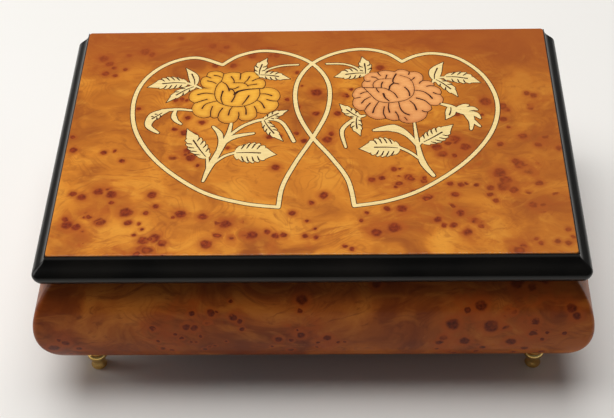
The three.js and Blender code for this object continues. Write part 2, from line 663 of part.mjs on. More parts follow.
// A padded roll: flat sides and a round top.
function ringRoll(x0, x1, y0, z0) {
  const width = ROLL_PITCH - CLEAR;
  const radius = width / 2;
  const outline = new THREE.Shape();
  outline.moveTo(0, 0);
  outline.lineTo(width, 0);
  outline.lineTo(width, ROLL_TOP - z0 - radius);
  outline.absarc(radius, ROLL_TOP - z0 - radius, radius, 0, Math.PI);
  const roll = new THREE.ExtrudeGeometry(outline, {
    depth: x1 - x0,
    bevelEnabled: false,
    curveSegments: 10,
  });
  return roll.rotateX(Math.PI / 2).rotateZ(Math.PI / 2).translate(x0, y0, z0);
}

// ---------- musical movement ----------
// Straight-toothed wheel about the X axis at the origin, from x0 to x1. A tooth points to the
// phase angle, and share is how much of the pitch a tooth takes.
function spurWheel(teeth, root, tip, x0, x1, phase = 0, share = 0.36) {
  const outline = [];
  const step = (2 * Math.PI) / teeth;
  const wide = 0.5 * share + 0.08;
  const narrow = 0.5 * share - 0.06;
  const corners = [[root, -wide], [tip, -narrow], [tip, narrow], [root, wide]];
  for (let i = 0; i < teeth; i++) {
    for (const [radius, offset] of corners) {
      const angle = phase + (i + offset) * step;
      outline.push(point(radius * Math.cos(angle), radius * Math.sin(angle)));
    }
  }
  // The outline's x turns to +Y, its y to +Z, and the depth to +X.
  const disc = plate(outline, 0, x1 - x0);
  return disc.rotateX(Math.PI / 2).rotateZ(Math.PI / 2).translate(x0, 0, 0);
}

function buildBedplate() {
  const low = [DRUM_X - 17.5, DRUM_Y - 18.6];
  const high = [BED_END, DRUM_Y + 27];
  const standTop = CYLINDER_Z + 3;
  const stands = [BRACKET_X, CYLINDER_END + 0.4].map((x) =>
    block([x, DRUM_Y - 3, BED], [x + 1, DRUM_Y + 3, standTop]));
  const combLedge = block(
    [CYLINDER_X + 1, DRUM_Y - 17.3, BED],
    [CYLINDER_END - 1, DRUM_Y - 13, CYLINDER_Z - 0.6],
  );
  const body = join([block([...low, BED], [...high, BED_TOP]), ...stands, combLedge]);
  const holes = [
    rod(DRUM_X, DRUM_Y, BED - SLACK, BED_TOP + SLACK, KEY_HOLE_RADIUS, 32),
    axle(DRUM_Y, CYLINDER_Z, BRACKET_X - 1, CYLINDER_END + 3, ARBOR_RADIUS + 0.15),
    ...MOUNT_SCREWS.map(([x, y]) =>
      rod(x, y, BED - SLACK, BED_TOP + SLACK, SCREW_RADIUS + JOINT, 16)),
    ...COMB_SCREWS.map((x) =>
      rod(x, COMB_SCREW_Y, BED + 2, CYLINDER_Z + 1, SMALL_SCREW_RADIUS + JOINT, 12)),
  ];
  place("bedplate", cut(body, holes), ZINC);
}

function buildComb() {
  const tipY = DRUM_Y - CYLINDER_RADIUS - TIP_GAP;
  const rootY = DRUM_Y - 12.2; // root of the shortest tooth
  const rootSlope = 1.4; // how much deeper the longest tooth is cut
  const heel = DRUM_Y - 17.4;
  const thickness = 0.9;
  const sideGap = 0.15;
  const left = CYLINDER_X + 0.6;
  const right = CYLINDER_END - 0.6;
  const pitch = (right - left) / COMB_TEETH;
  const outline = [point(left, heel), point(right, heel)];
  for (let i = COMB_TEETH - 1; i >= 0; i--) {
    const x0 = left + i * pitch + sideGap;
    const x1 = left + (i + 1) * pitch - sideGap;
    const root = rootY - (rootSlope * (COMB_TEETH - i)) / COMB_TEETH;
    outline.push(point(x1, root), point(x1, tipY), point(x0, tipY), point(x0, root));
  }
  const low = CYLINDER_Z - 0.5;
  const high = low + thickness;
  const hole = SMALL_SCREW_RADIUS + JOINT;
  const holes = COMB_SCREWS.map((x) => rod(x, COMB_SCREW_Y, low - SLACK, high + SLACK, hole, 12));
  place("comb", cut(plate(outline, low, high), holes), STEEL);
  COMB_SCREWS.forEach((x, i) => place(`comb_screw_${i + 1}`, combScrew(x, high), BRASS));
}

// Slotted screw whose head lies on the comb.
function combScrew(x, under) {
  const headTop = under + 1.2;
  const shank = rod(x, COMB_SCREW_Y, BED + 3, under + 0.3, SMALL_SCREW_RADIUS, 12);
  const head = rod(x, COMB_SCREW_Y, under + JOINT, headTop, 1.9, 20);
  const nick = block(
    [x - 2, COMB_SCREW_Y - 0.25, headTop - 0.4],
    [x + 2, COMB_SCREW_Y + 0.25, headTop + SLACK],
  );
  return cut(join([shank, head]), [nick]);
}

// Brass cup over the spring, carried by two legs on the drum's far side.
function buildSpringHousing() {
  const low = CROWN_LOW + 2.1;
  const cup = rod(DRUM_X, DRUM_Y, low, DRUM_TOP, DRUM_RADIUS, 32);
  const pocketTop = DRUM_TOP - 1.2;
  const pocket = rod(DRUM_X, DRUM_Y, low - SLACK, pocketTop, DRUM_RADIUS - DRUM_WALL, 32);
  const bore = rod(DRUM_X, DRUM_Y, low - SLACK, DRUM_TOP + SLACK, WINDER_RADIUS + 0.4, 24);
  const x = DRUM_X - 4;
  const strip = 1.2;
  const armLow = DRUM_TOP - 6;
  const legs = [-1, 1].map((sign) => {
    const y = DRUM_Y + sign * (DRUM_RADIUS - 1.5);
    const far = DRUM_Y + sign * 18.2; // clear of the crown wheel
    const near = far - sign * strip;
    const arm = block([x - 2, Math.min(y, far), armLow], [x + 2, Math.max(y, far), armLow + strip]);
    const leg = block(
      [x - 2, Math.min(near, far), BED_TOP + JOINT],
      [x + 2, Math.max(near, far), armLow + strip],
    );
    return join([arm, leg]);
  });
  place("spring_housing", cut(join([cup, ...legs]), [pocket, bore]), BRASS);
}

function buildMainspring() {
  const turns = 4;
  const inner = 3.4;
  const outer = DRUM_RADIUS - 1.6;
  const half = 0.2;
  const steps = turns * 14;
  const spiral = (grow) => Array.from({ length: steps + 1 }, (_, i) => {
    const t = i / steps;
    const radius = inner + (outer - inner) * t + grow;
    const angle = 2 * Math.PI * turns * t;
    return point(DRUM_X + radius * Math.cos(angle), DRUM_Y + radius * Math.sin(angle));
  });
  const strip = [...spiral(half), ...spiral(-half).reverse()];
  place("mainspring", plate(strip, CROWN_LOW + 3.5, DRUM_TOP - 2.4), STEEL);
}

function buildWinding() {
  const arborLow = KEY_TOP - 6;
  const arbor = join([
    rod(DRUM_X, DRUM_Y, arborLow, DRUM_TOP + 0.8, WINDER_RADIUS),
    rod(DRUM_X, DRUM_Y, KEY_TOP + 0.3, CROWN_LOW - 0.1, WINDER_RADIUS + 0.8),
  ]);
  place("winding_arbor", arbor, STEEL);
  const hub = rod(DRUM_X, DRUM_Y, arborLow - 0.5, KEY_TOP, 3.2);
  const socket = rod(DRUM_X, DRUM_Y, arborLow - JOINT, KEY_TOP + SLACK, WINDER_RADIUS + JOINT);
  place("winding_key", cut(join([hub, keyWings()]), [socket]), BRASS);
  place("crown_wheel", crownWheel(), BRASS);
}

// Butterfly wings with an eye in each.
function keyWings() {
  const reach = 11;
  const height = KEY_TOP - 4.5 - KEY_LOW;
  const eye = { x: 6.8, z: height / 2 + 0.2, width: 2.2, height: 1.9 };
  const thick = 1.6;
  const wing = new THREE.Shape();
  wing.moveTo(-3, height);
  wing.bezierCurveTo(-6, height + 1.5, -reach, height + 0.5, -reach, height / 2);
  wing.bezierCurveTo(-reach, -0.8, -5, -0.4, 0, 1.6);
  wing.bezierCurveTo(5, -0.4, reach, -0.8, reach, height / 2);
  wing.bezierCurveTo(reach, height + 0.5, 6, height + 1.5, 3, height);
  for (const x of [-eye.x, eye.x]) {
    const hole = new THREE.Path();
    hole.absellipse(x, eye.z, eye.width, eye.height, 0, 2 * Math.PI, true);
    wing.holes.push(hole);
  }
  const blade = new THREE.ExtrudeGeometry(wing, {
    depth: thick,
    bevelEnabled: false,
    curveSegments: 8,
  });
  return blade.rotateX(Math.PI / 2).translate(DRUM_X, DRUM_Y + thick / 2, KEY_LOW + 0.3);
}

function crownWheel() {
  const rim = rod(DRUM_X, DRUM_Y, CROWN_LOW, CROWN_LOW + 1.5, CROWN_RADIUS + 1.5, 48);
  const pieces = [rim];
  for (let i = 0; i < CROWN_TEETH; i++) {
    const tooth = block(
      [CROWN_RADIUS - 1.4, -0.36, CROWN_LOW + 1],
      [CROWN_RADIUS + 1.2, 0.36, CROWN_TIP],
    );
    // A gap, not a tooth, lies under the pinion at rest.
    tooth.rotateZ(((i + 0.5) * 2 * Math.PI) / CROWN_TEETH);
    pieces.push(tooth.translate(DRUM_X, DRUM_Y, 0));
  }
  const bore = rod(DRUM_X, DRUM_Y, 0, TOP, WINDER_RADIUS + JOINT);
  return cut(join(pieces), [bore]);
}

function buildCylinder() {
  const about = (piece) => piece.translate(0, DRUM_Y, CYLINDER_Z);
  const pieces = [
    axle(DRUM_Y, CYLINDER_Z, PINION_X - 0.3, GEAR_X + 1.8, ARBOR_RADIUS),
    axle(DRUM_Y, CYLINDER_Z, CYLINDER_X, CYLINDER_END, CYLINDER_RADIUS, 32),
    // A tooth points straight down into the crown's gap.
    about(spurWheel(PINION_TEETH, PINION_RADIUS - 1.1, PINION_RADIUS + MESH_DEPTH / 2,
      PINION_X, PINION_X + 2.2, -Math.PI / 2, 0.26)),
    about(spurWheel(CYLINDER_TEETH, GEAR_RADIUS - 0.5, GEAR_RADIUS + 0.3, GEAR_X, GEAR_X + 1.6, 0)),
  ];
  const pitch = (CYLINDER_END - CYLINDER_X - 1.2) / COMB_TEETH;
  for (let track = 0; track < COMB_TEETH; track++) {
    const x = CYLINDER_X + 0.6 + (track + 0.5) * pitch;
    for (let note = 0; note < 3; note++) {
      // A fixed sequence spreads the notes round the cylinder.
      const angle = ((track * 7 + note * 11 + (track % 3) * note) % 44) * (Math.PI / 22);
      const pin = block(
        [x - 0.2, -0.2, CYLINDER_RADIUS - 0.5],
        [x + 0.2, 0.2, CYLINDER_RADIUS + 0.7],
      );
      pieces.push(about(pin.rotateX(angle)));
    }
  }
  place("pinned_cylinder", join(pieces), BRASS);
}

function buildGovernor() {
  const about = (piece) => piece.translate(0, WHEEL_Y, CYLINDER_Z);
  const wheel = join([
    axle(WHEEL_Y, CYLINDER_Z, GEAR_X - 1.2, WHEEL_X + 3.4, 0.6, 16),
    // Half a tooth pitch round, so that the teeth fall into the driving wheel's gaps.
    about(spurWheel(WHEEL_PINION_TEETH, SMALL_RADIUS - 0.5, SMALL_RADIUS + 0.3,
      GEAR_X - 0.4, GEAR_X + 2, Math.PI + Math.PI / WHEEL_PINION_TEETH, 0.3)),
    about(spurWheel(WORM_WHEEL_TEETH, WHEEL_RADIUS - 0.7, WHEEL_RADIUS + 0.3,
      WHEEL_X, WHEEL_X + 1.6, 0, 0.3)),
  ]);
  place("governor_wheel", wheel, BRASS);
  place("fly_worm", flyWorm(), STEEL);
  place("governor_bracket", governorBracket(), ZINC);
}

// Right-hand thread round the fly's spindle, cut square.
function thread() {
  const perTurn = 10;
  const turns = (WORM_HIGH - WORM_LOW - 0.8) / WORM_PITCH;
  const steps = Math.round(turns * perTurn);
  const low = WORM_LOW + THREAD_INSET;
  const root = 0.6;
  const corners = [
    [root, -THREAD_HALF], [WORM_TIP, -THREAD_HALF * 0.7],
    [WORM_TIP, THREAD_HALF * 0.7], [root, THREAD_HALF],
  ];
  const positions = [];
  for (let i = 0; i <= steps; i++) {
    const angle = (i / perTurn) * 2 * Math.PI + WORM_PHASE;
    const z = low + (i / perTurn) * WORM_PITCH;
    for (const [radius, lift] of corners) {
      positions.push(radius * Math.cos(angle), radius * Math.sin(angle), z + THREAD_HALF + lift);
    }
  }
  const index = [0, 1, 2, 0, 2, 3];
  for (let i = 0; i < steps; i++) {
    for (let side = 0; side < 4; side++) {
      const a = i * 4 + side;
      const b = i * 4 + ((side + 1) % 4);
      index.push(b, a, a + 4, b, a + 4, b + 4);
    }
  }
  const last = steps * 4;
  index.push(last, last + 2, last + 1, last, last + 3, last + 2);
  const screw = new THREE.BufferGeometry();
  screw.setAttribute("position", new THREE.Float32BufferAttribute(positions, 3));
  screw.setIndex(index);
  return screw;
}

function flyWorm() {
  const pieces = [
    rod(0, 0, WORM_LOW - 1.6, FLY_HIGH + 1, 0.45, 12),
    rod(0, 0, WORM_LOW, WORM_HIGH, 1, 16),
    thread(),
    block([-FLY_RADIUS, -0.3, FLY_LOW], [FLY_RADIUS, 0.3, FLY_HIGH]),
  ];
  return join(pieces).translate(WORM_X, WORM_Y, 0);
}

// A frame round the worm and the wheel, open on the wheel's side.
function governorBracket() {
  const x0 = WHEEL_X + 4;
  const x1 = x0 + 1;
  const wall = block([x0, WHEEL_Y - 3, BED_TOP + JOINT], [x1, PIVOT_Y + 2, FLY_LOW - 0.4]);
  const arm = (z) => block([WORM_X - 2, WORM_Y - 2, z], [x1, WORM_Y + 2, z + 0.8]);
  const foot = block([WORM_X - 3, WORM_Y - 1, BED_TOP + JOINT], [x1, WORM_Y + 3, BED_TOP + 1.1]);
  const frame = join([wall, arm(WORM_LOW - 1.4), arm(WORM_HIGH + 0.4), foot]);
  return cut(frame, [
    rod(WORM_X, WORM_Y, WORM_LOW - 2.5, FLY_LOW + 2, 0.6, 16),
    axle(WHEEL_Y, CYLINDER_Z, x0 - 1, x1 + 1, 0.75, 16),
    axle(PIVOT_Y, PIVOT_Z, x0 - 1, x1 + 1, PIVOT_RADIUS + 0.15, 16),
  ]);
}

// The lid holds this wire down; as the lid lifts, the wire leaves the fly.
function buildStopWire() {
  const top = LID_UNDER - 2;
  const halfCrank = 0.4;
  const pieces = [
    axle(PIVOT_Y, PIVOT_Z, WIRE_X - 1, BED_END, PIVOT_RADIUS, 12),
    block(
      [WIRE_X - WIRE_RADIUS, WIRE_Y - WIRE_RADIUS, PIVOT_Z - halfCrank],
      [WIRE_X + WIRE_RADIUS, PIVOT_Y, PIVOT_Z + halfCrank],
    ),
    block(
      [WIRE_X - WIRE_RADIUS, WIRE_Y - WIRE_RADIUS, PIVOT_Z - halfCrank],
      [WIRE_X + WIRE_RADIUS, WIRE_Y + WIRE_RADIUS, top],
    ),
  ];
  place("stop_wire", join(pieces), STEEL);
}

function buildScrews() {
  MOUNT_SCREWS.forEach(([x, y], i) => {
    const shank = rod(x, y, FOOT_HEIGHT - 0.6, BED_TOP, SCREW_RADIUS, 16);
    const head = rod(x, y, FOOT_HEIGHT - 1.5, FOOT_HEIGHT - JOINT, 2.8, 20);
    const nick = block([x - 3, y - 0.35, FOOT_HEIGHT - 2], [x + 3, y + 0.35, FOOT_HEIGHT - 0.9]);
    place(`movement_screw_${i + 1}`, cut(join([shank, head]), [nick]), STEEL);
  });
}

function buildMovement() {
  buildBedplate();
  buildComb();
  buildSpringHousing();
  buildMainspring();
  buildWinding();
  buildCylinder();
  buildGovernor();
  buildStopWire();
  buildScrews();
}

buildCase();
buildFeet();
buildLid();
buildMarquetry();
buildHinges();
buildLinings();
buildDividers();
buildRingRolls();
buildCover();
buildMovement();

export default model;
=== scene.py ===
"""Wind-up music box: glossy burl case, marquetry lid, velvet inside and an 18-note movement."""

import json
import math
import random

import bmesh
import bpy
from mathutils import Matrix, Vector
from mathutils.geometry import delaunay_2d_cdt


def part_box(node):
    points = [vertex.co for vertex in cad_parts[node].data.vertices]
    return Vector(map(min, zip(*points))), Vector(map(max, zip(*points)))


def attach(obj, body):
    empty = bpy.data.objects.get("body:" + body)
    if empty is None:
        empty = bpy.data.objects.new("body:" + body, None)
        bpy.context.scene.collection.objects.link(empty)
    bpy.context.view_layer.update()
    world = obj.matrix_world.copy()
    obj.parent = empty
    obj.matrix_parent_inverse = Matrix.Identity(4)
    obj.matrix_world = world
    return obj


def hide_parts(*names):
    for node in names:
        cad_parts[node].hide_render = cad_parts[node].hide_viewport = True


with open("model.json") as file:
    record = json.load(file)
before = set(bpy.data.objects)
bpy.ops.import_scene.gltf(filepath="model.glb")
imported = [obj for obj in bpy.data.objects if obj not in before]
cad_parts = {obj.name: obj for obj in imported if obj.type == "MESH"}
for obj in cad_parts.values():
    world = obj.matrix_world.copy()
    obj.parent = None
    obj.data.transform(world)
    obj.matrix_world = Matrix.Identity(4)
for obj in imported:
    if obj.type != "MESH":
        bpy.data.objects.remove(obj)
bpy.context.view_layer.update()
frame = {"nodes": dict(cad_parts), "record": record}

MM = 0.001

# ---------- sizes, in millimetres, from the frame ----------


def edges(node):
    """The node's lowest and highest corner in millimetres."""
    low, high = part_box(node)
    return low / MM, high / MM


SHEET_LOW, SHEET_HIGH = edges("lid_veneer")
PANEL_LOW, PANEL_HIGH = edges("lid_panel")
CASE_LOW, CASE_HIGH = edges("front_panel")
BACK_LOW, BACK_HIGH = edges("back_panel")
FLOOR_LOW, FLOOR_HIGH = edges("floor_lining")
HALF = SHEET_HIGH.x
FRONT = SHEET_LOW.y
BACK = SHEET_HIGH.y
TOP = edges("inlay_heart_left")[1].z
POLISH = 0.05  # thickness of the polish over the CAD sheet
SHEET_TOP = SHEET_HIGH.z + POLISH
LID_UNDER = PANEL_LOW.z
RIM = CASE_HIGH.z
CASE_FOOT = CASE_LOW.z
BULGE = CASE_HIGH.x - HALF
WALL_INSET = HALF - BACK_HIGH.x - 0.1  # case walls' inner faces, inside the sheet's edge
BULGE_RADIUS = 28.1
BULGE_HEIGHT = 35.1
LEAF_THICKNESS = 0.8  # hinge leaves
KNUCKLE_RADIUS = 1.26
LINING = 1.2  # velvet on the walls


# ---------- materials ----------


class Shader:
    """A node material built from short calls. Coordinates are in millimetres on the object."""

    def __init__(self, name):
        self.material = bpy.data.materials.new(name)
        self.material.use_nodes = True
        self.tree = self.material.node_tree
        self.surface = self.tree.nodes["Principled BSDF"]
        coordinates = self.node("ShaderNodeTexCoord").outputs["Object"]
        self.place = self.vector("SCALE", coordinates, scale=1 / MM)

    def node(self, kind, **settings):
        made = self.tree.nodes.new(kind)
        for key, value in settings.items():
            setattr(made, key, value)
        return made

    def feed(self, socket, value):
        if isinstance(value, bpy.types.NodeSocket):
            self.tree.links.new(value, socket)
        else:
            socket.default_value = value

    def vector(self, operation, a, b=None, scale=None):
        made = self.node("ShaderNodeVectorMath", operation=operation)
        self.feed(made.inputs[0], a)
        if b is not None:
            self.feed(made.inputs[1], b)
        if scale is not None:
            self.feed(made.inputs["Scale"], scale)
        return made.outputs["Value" if operation == "DISTANCE" else "Vector"]

    def math(self, operation, a, b=0.0, clamp=False):
        made = self.node("ShaderNodeMath", operation=operation, use_clamp=clamp)
        self.feed(made.inputs[0], a)
        self.feed(made.inputs[1], b)
        return made.outputs[0]

    def noise(self, scale, detail=3.0, roughness=0.5, distortion=0.0, place=None, colour=False):
        made = self.node("ShaderNodeTexNoise")
        self.feed(made.inputs["Vector"], place or self.place)
        self.feed(made.inputs["Scale"], scale)
        self.feed(made.inputs["Detail"], detail)
        self.feed(made.inputs["Roughness"], roughness)
        self.feed(made.inputs["Distortion"], distortion)
        return made.outputs["Color" if colour else "Fac"]

    def cells(self, scale, place=None):
        """Distance to the nearest cell centre, and a random colour for that cell."""
        made = self.node("ShaderNodeTexVoronoi")
        self.feed(made.inputs["Vector"], place or self.place)
        self.feed(made.inputs["Scale"], scale)
        return made.outputs["Distance"], made.outputs["Color"]

    def warp(self, scale, reach, detail=2.0, place=None):
        """The coordinates pushed about by up to reach millimetres."""
        swirl = self.noise(scale, detail, place=place, colour=True)
        centred = self.vector("SUBTRACT", swirl, (0.5, 0.5, 0.5))
        return self.vector("ADD", place or self.place, self.vector("SCALE", centred, scale=2 * reach))

    def stretch(self, factors, place=None):
        return self.vector("MULTIPLY", place or self.place, factors)

    def step(self, value, start, end, low=0.0, high=1.0):
        made = self.node("ShaderNodeMapRange", interpolation_type="SMOOTHSTEP")
        self.feed(made.inputs["Value"], value)
        for key, number in zip(("From Min", "From Max", "To Min", "To Max"), (start, end, low, high)):
            self.feed(made.inputs[key], number)
        return made.outputs["Result"]

    def ramp(self, value, stops):
        made = self.node("ShaderNodeValToRGB")
        self.feed(made.inputs["Fac"], value)
        line = made.color_ramp.elements
        while len(line) < len(stops):
            line.new(0.5)
        for element, (position, colour) in zip(line, stops):
            element.position = position
            element.color = (*colour, 1)
        return made.outputs["Color"]

    def mix(self, factor, a, b):
        made = self.node("ShaderNodeMix", data_type="RGBA")
        self.feed(made.inputs["Factor"], factor)
        self.feed(made.inputs["A"], self.rgba(a))
        self.feed(made.inputs["B"], self.rgba(b))
        return made.outputs["Result"]

    @staticmethod
    def rgba(value):
        return (*value, 1) if isinstance(value, tuple) else value

    def attribute(self, name):
        return self.node("ShaderNodeAttribute", attribute_name=name).outputs["Fac"]

    def bump(self, height, strength, distance):
        made = self.node("ShaderNodeBump")
        self.feed(made.inputs["Height"], height)
        self.feed(made.inputs["Strength"], strength)
        self.feed(made.inputs["Distance"], distance * MM)
        self.tree.links.new(made.outputs["Normal"], self.surface.inputs["Normal"])

    def finish(self, colour, **values):
        self.feed(self.surface.inputs["Base Color"], self.rgba(colour))
        for key, value in values.items():
            self.feed(self.surface.inputs[key.replace("_", " ")], value)
        return self.material


def polish(shader, colour, roughness=0.4, coat=0.8, coat_roughness=0.06):
    """Wood under a thick clear polyester coat."""
    return shader.finish(
        colour,
        Roughness=roughness,
        Specular_IOR_Level=0.08,  # the wood itself hardly shines; the coat does
        Coat_Weight=coat,
        Coat_Roughness=coat_roughness,
        Coat_IOR=1.5,
    )


def eye_field(s, eyes, solid, gone):
    """One in the eyes' cores, fading to nothing between solid and gone radii."""
    ragged = s.warp(0.4, 0.8, 2.0)
    nearest = None
    for x, y, z, radius in eyes:
        away = s.vector("DISTANCE", ragged, (x, y, z))
        share = s.math("DIVIDE", away, radius)
        nearest = share if nearest is None else s.math("MINIMUM", nearest, share)
    return s.step(nearest, solid, gone, 1.0, 0.0)


def cluster_field(s, clusters, place):
    """One inside the clusters of eyes, fading to nothing past their radii."""
    gather = None
    for x, y, z, radius in clusters:
        away = s.vector("DISTANCE", place, (x, y, z))
        near = s.step(away, 0.45 * radius, 1.2 * radius, 1.0, 0.0)
        gather = near if gather is None else s.math("MAXIMUM", gather, near)
    return gather


def burl_figure(s, tones, pore_tone, drift, fine_drift):
    """Swirling ground with flowing streaks, growth lines and pores."""
    figure = s.noise(0.028, 4.0, 0.55, 1.0, fine_drift)
    colour = s.ramp(figure, list(zip((0.30, 0.43, 0.55, 0.70), tones)))
    # Streaks are longer across the sheet than along it.
    streak = s.noise(0.15, 4.0, 0.6, 2.0, s.stretch((0.3, 1.0, 1.0), fine_drift))
    colour = s.mix(s.step(streak, 0.5, 0.72, 0.0, 0.6), colour, tones[0])
    pale = s.noise(0.10, 3.0, 0.5, 1.5, s.stretch((0.4, 1.0, 1.0), drift))
    colour = s.mix(s.step(pale, 0.52, 0.74, 0.0, 0.55), colour, tones[3])
    # Growth lines follow the contours of the figure.
    contour = s.math("SINE", s.math("MULTIPLY", s.noise(0.04, 2.0, 0.5, 0.6, drift), 120.0))
    patches = s.step(s.noise(0.05, 2.0), 0.45, 0.65)
    lines = s.math("MULTIPLY", s.step(contour, 0.1, 1.0, 0.0, 0.32), patches)
    colour = s.mix(lines, colour, tones[0])
    pores = s.noise(1.3, 3.0, 0.7, 0.0, s.stretch((0.35, 1.0, 1.0)))
    return s.mix(s.step(pores, 0.5, 0.8, 0.0, 0.14), colour, pore_tone)


def small_eyes(s, colour, gather, eye_tones, halo_tone):
    """Scattered small eyes of two sizes, most of them in the clusters."""
    shape = s.stretch((0.8, 1.0, 1.0), s.warp(0.3, 1.3, 2.0))
    for scale, size, share in ((0.15, 0.26, 0.26), (0.26, 0.27, 0.30)):
        away, chance = s.cells(scale, shape)
        dice = s.node("ShaderNodeSeparateColor")
        s.feed(dice.inputs[0], chance)
        radius = s.math("MULTIPLY", size, s.math("ADD", 0.5, dice.outputs[1]))
        inside = s.math("DIVIDE", away, radius)
        crowded = s.math("MULTIPLY", gather, share)
        luck = s.math("ADD", crowded, s.math("MULTIPLY", dice.outputs[0], 0.6))
        wanted = s.step(luck, 0.70, 0.74)
        ring = s.step(inside, 1.0, 2.1, 0.75, 0.0)
        core = s.step(inside, 0.6, 1.1, 0.95, 0.0)
        colour = s.mix(s.math("MULTIPLY", ring, wanted), colour, halo_tone)
        eye = s.ramp(inside, [(0.2, eye_tones[1]), (0.75, eye_tones[0])])
        colour = s.mix(s.math("MULTIPLY", core, wanted), colour, eye)
    return colour


def burl(name, tones, eye_tones, halo_tone, eyes, clusters, painted_shade, coat=0.8):
    """Burl veneer with eyes at (x, y, z, radius) and small eyes in the clusters."""
    s = Shader(name)
    drift = s.warp(0.020, 20.0, 2.0)
    fine_drift = s.warp(0.085, 3.5, 3.0, drift)
    colour = burl_figure(s, tones, eye_tones[0], drift, fine_drift)
    gather = cluster_field(s, clusters, fine_drift)
    halo = s.math("MULTIPLY", gather, s.step(s.noise(0.13, 3.0, 0.6, 1.0), 0.38, 0.62))
    colour = s.mix(s.math("MULTIPLY", halo, 0.6), colour, halo_tone)
    colour = s.mix(s.math("MULTIPLY", eye_field(s, eyes, 1.1, 2.8), 0.65), colour, halo_tone)
    core = s.ramp(s.noise(0.9, 2.0, 0.6), [(0.35, eye_tones[0]), (0.75, eye_tones[1])])
    colour = s.mix(eye_field(s, eyes, 0.75, 1.45), colour, core)
    colour = small_eyes(s, colour, gather, eye_tones, halo_tone)
    # The given shade function paints shade into the colour: a light falloff on the lid, the lid's
    # shadow on the case.
    return polish(s, painted_shade(s, colour), coat=coat)


# Eye clusters on the lid as (x, distance behind the front edge, radius).
LID_CLUSTERS = [
    (-86, 18, 13), (-71, 31, 10), (-60, 4, 13), (-31, 15, 9), (-14, 9, 10), (4, 11, 9),
    (27, 13, 12), (57, 16, 13), (80, 4, 11), (74, 41, 16), (54, 57, 13), (29, 41, 13), (88, 86, 8),
    (-85, 113, 13), (-70, 119, 8), (-41, 122, 8), (-22, 117, 8), (2, 92, 5), (6, 65, 8),
    (-48, 56, 8), (-52, 88, 7), (-14, 47, 6), (86, 62, 10), (67, 85, 6), (42, 27, 9), (92, 24, 9),
]
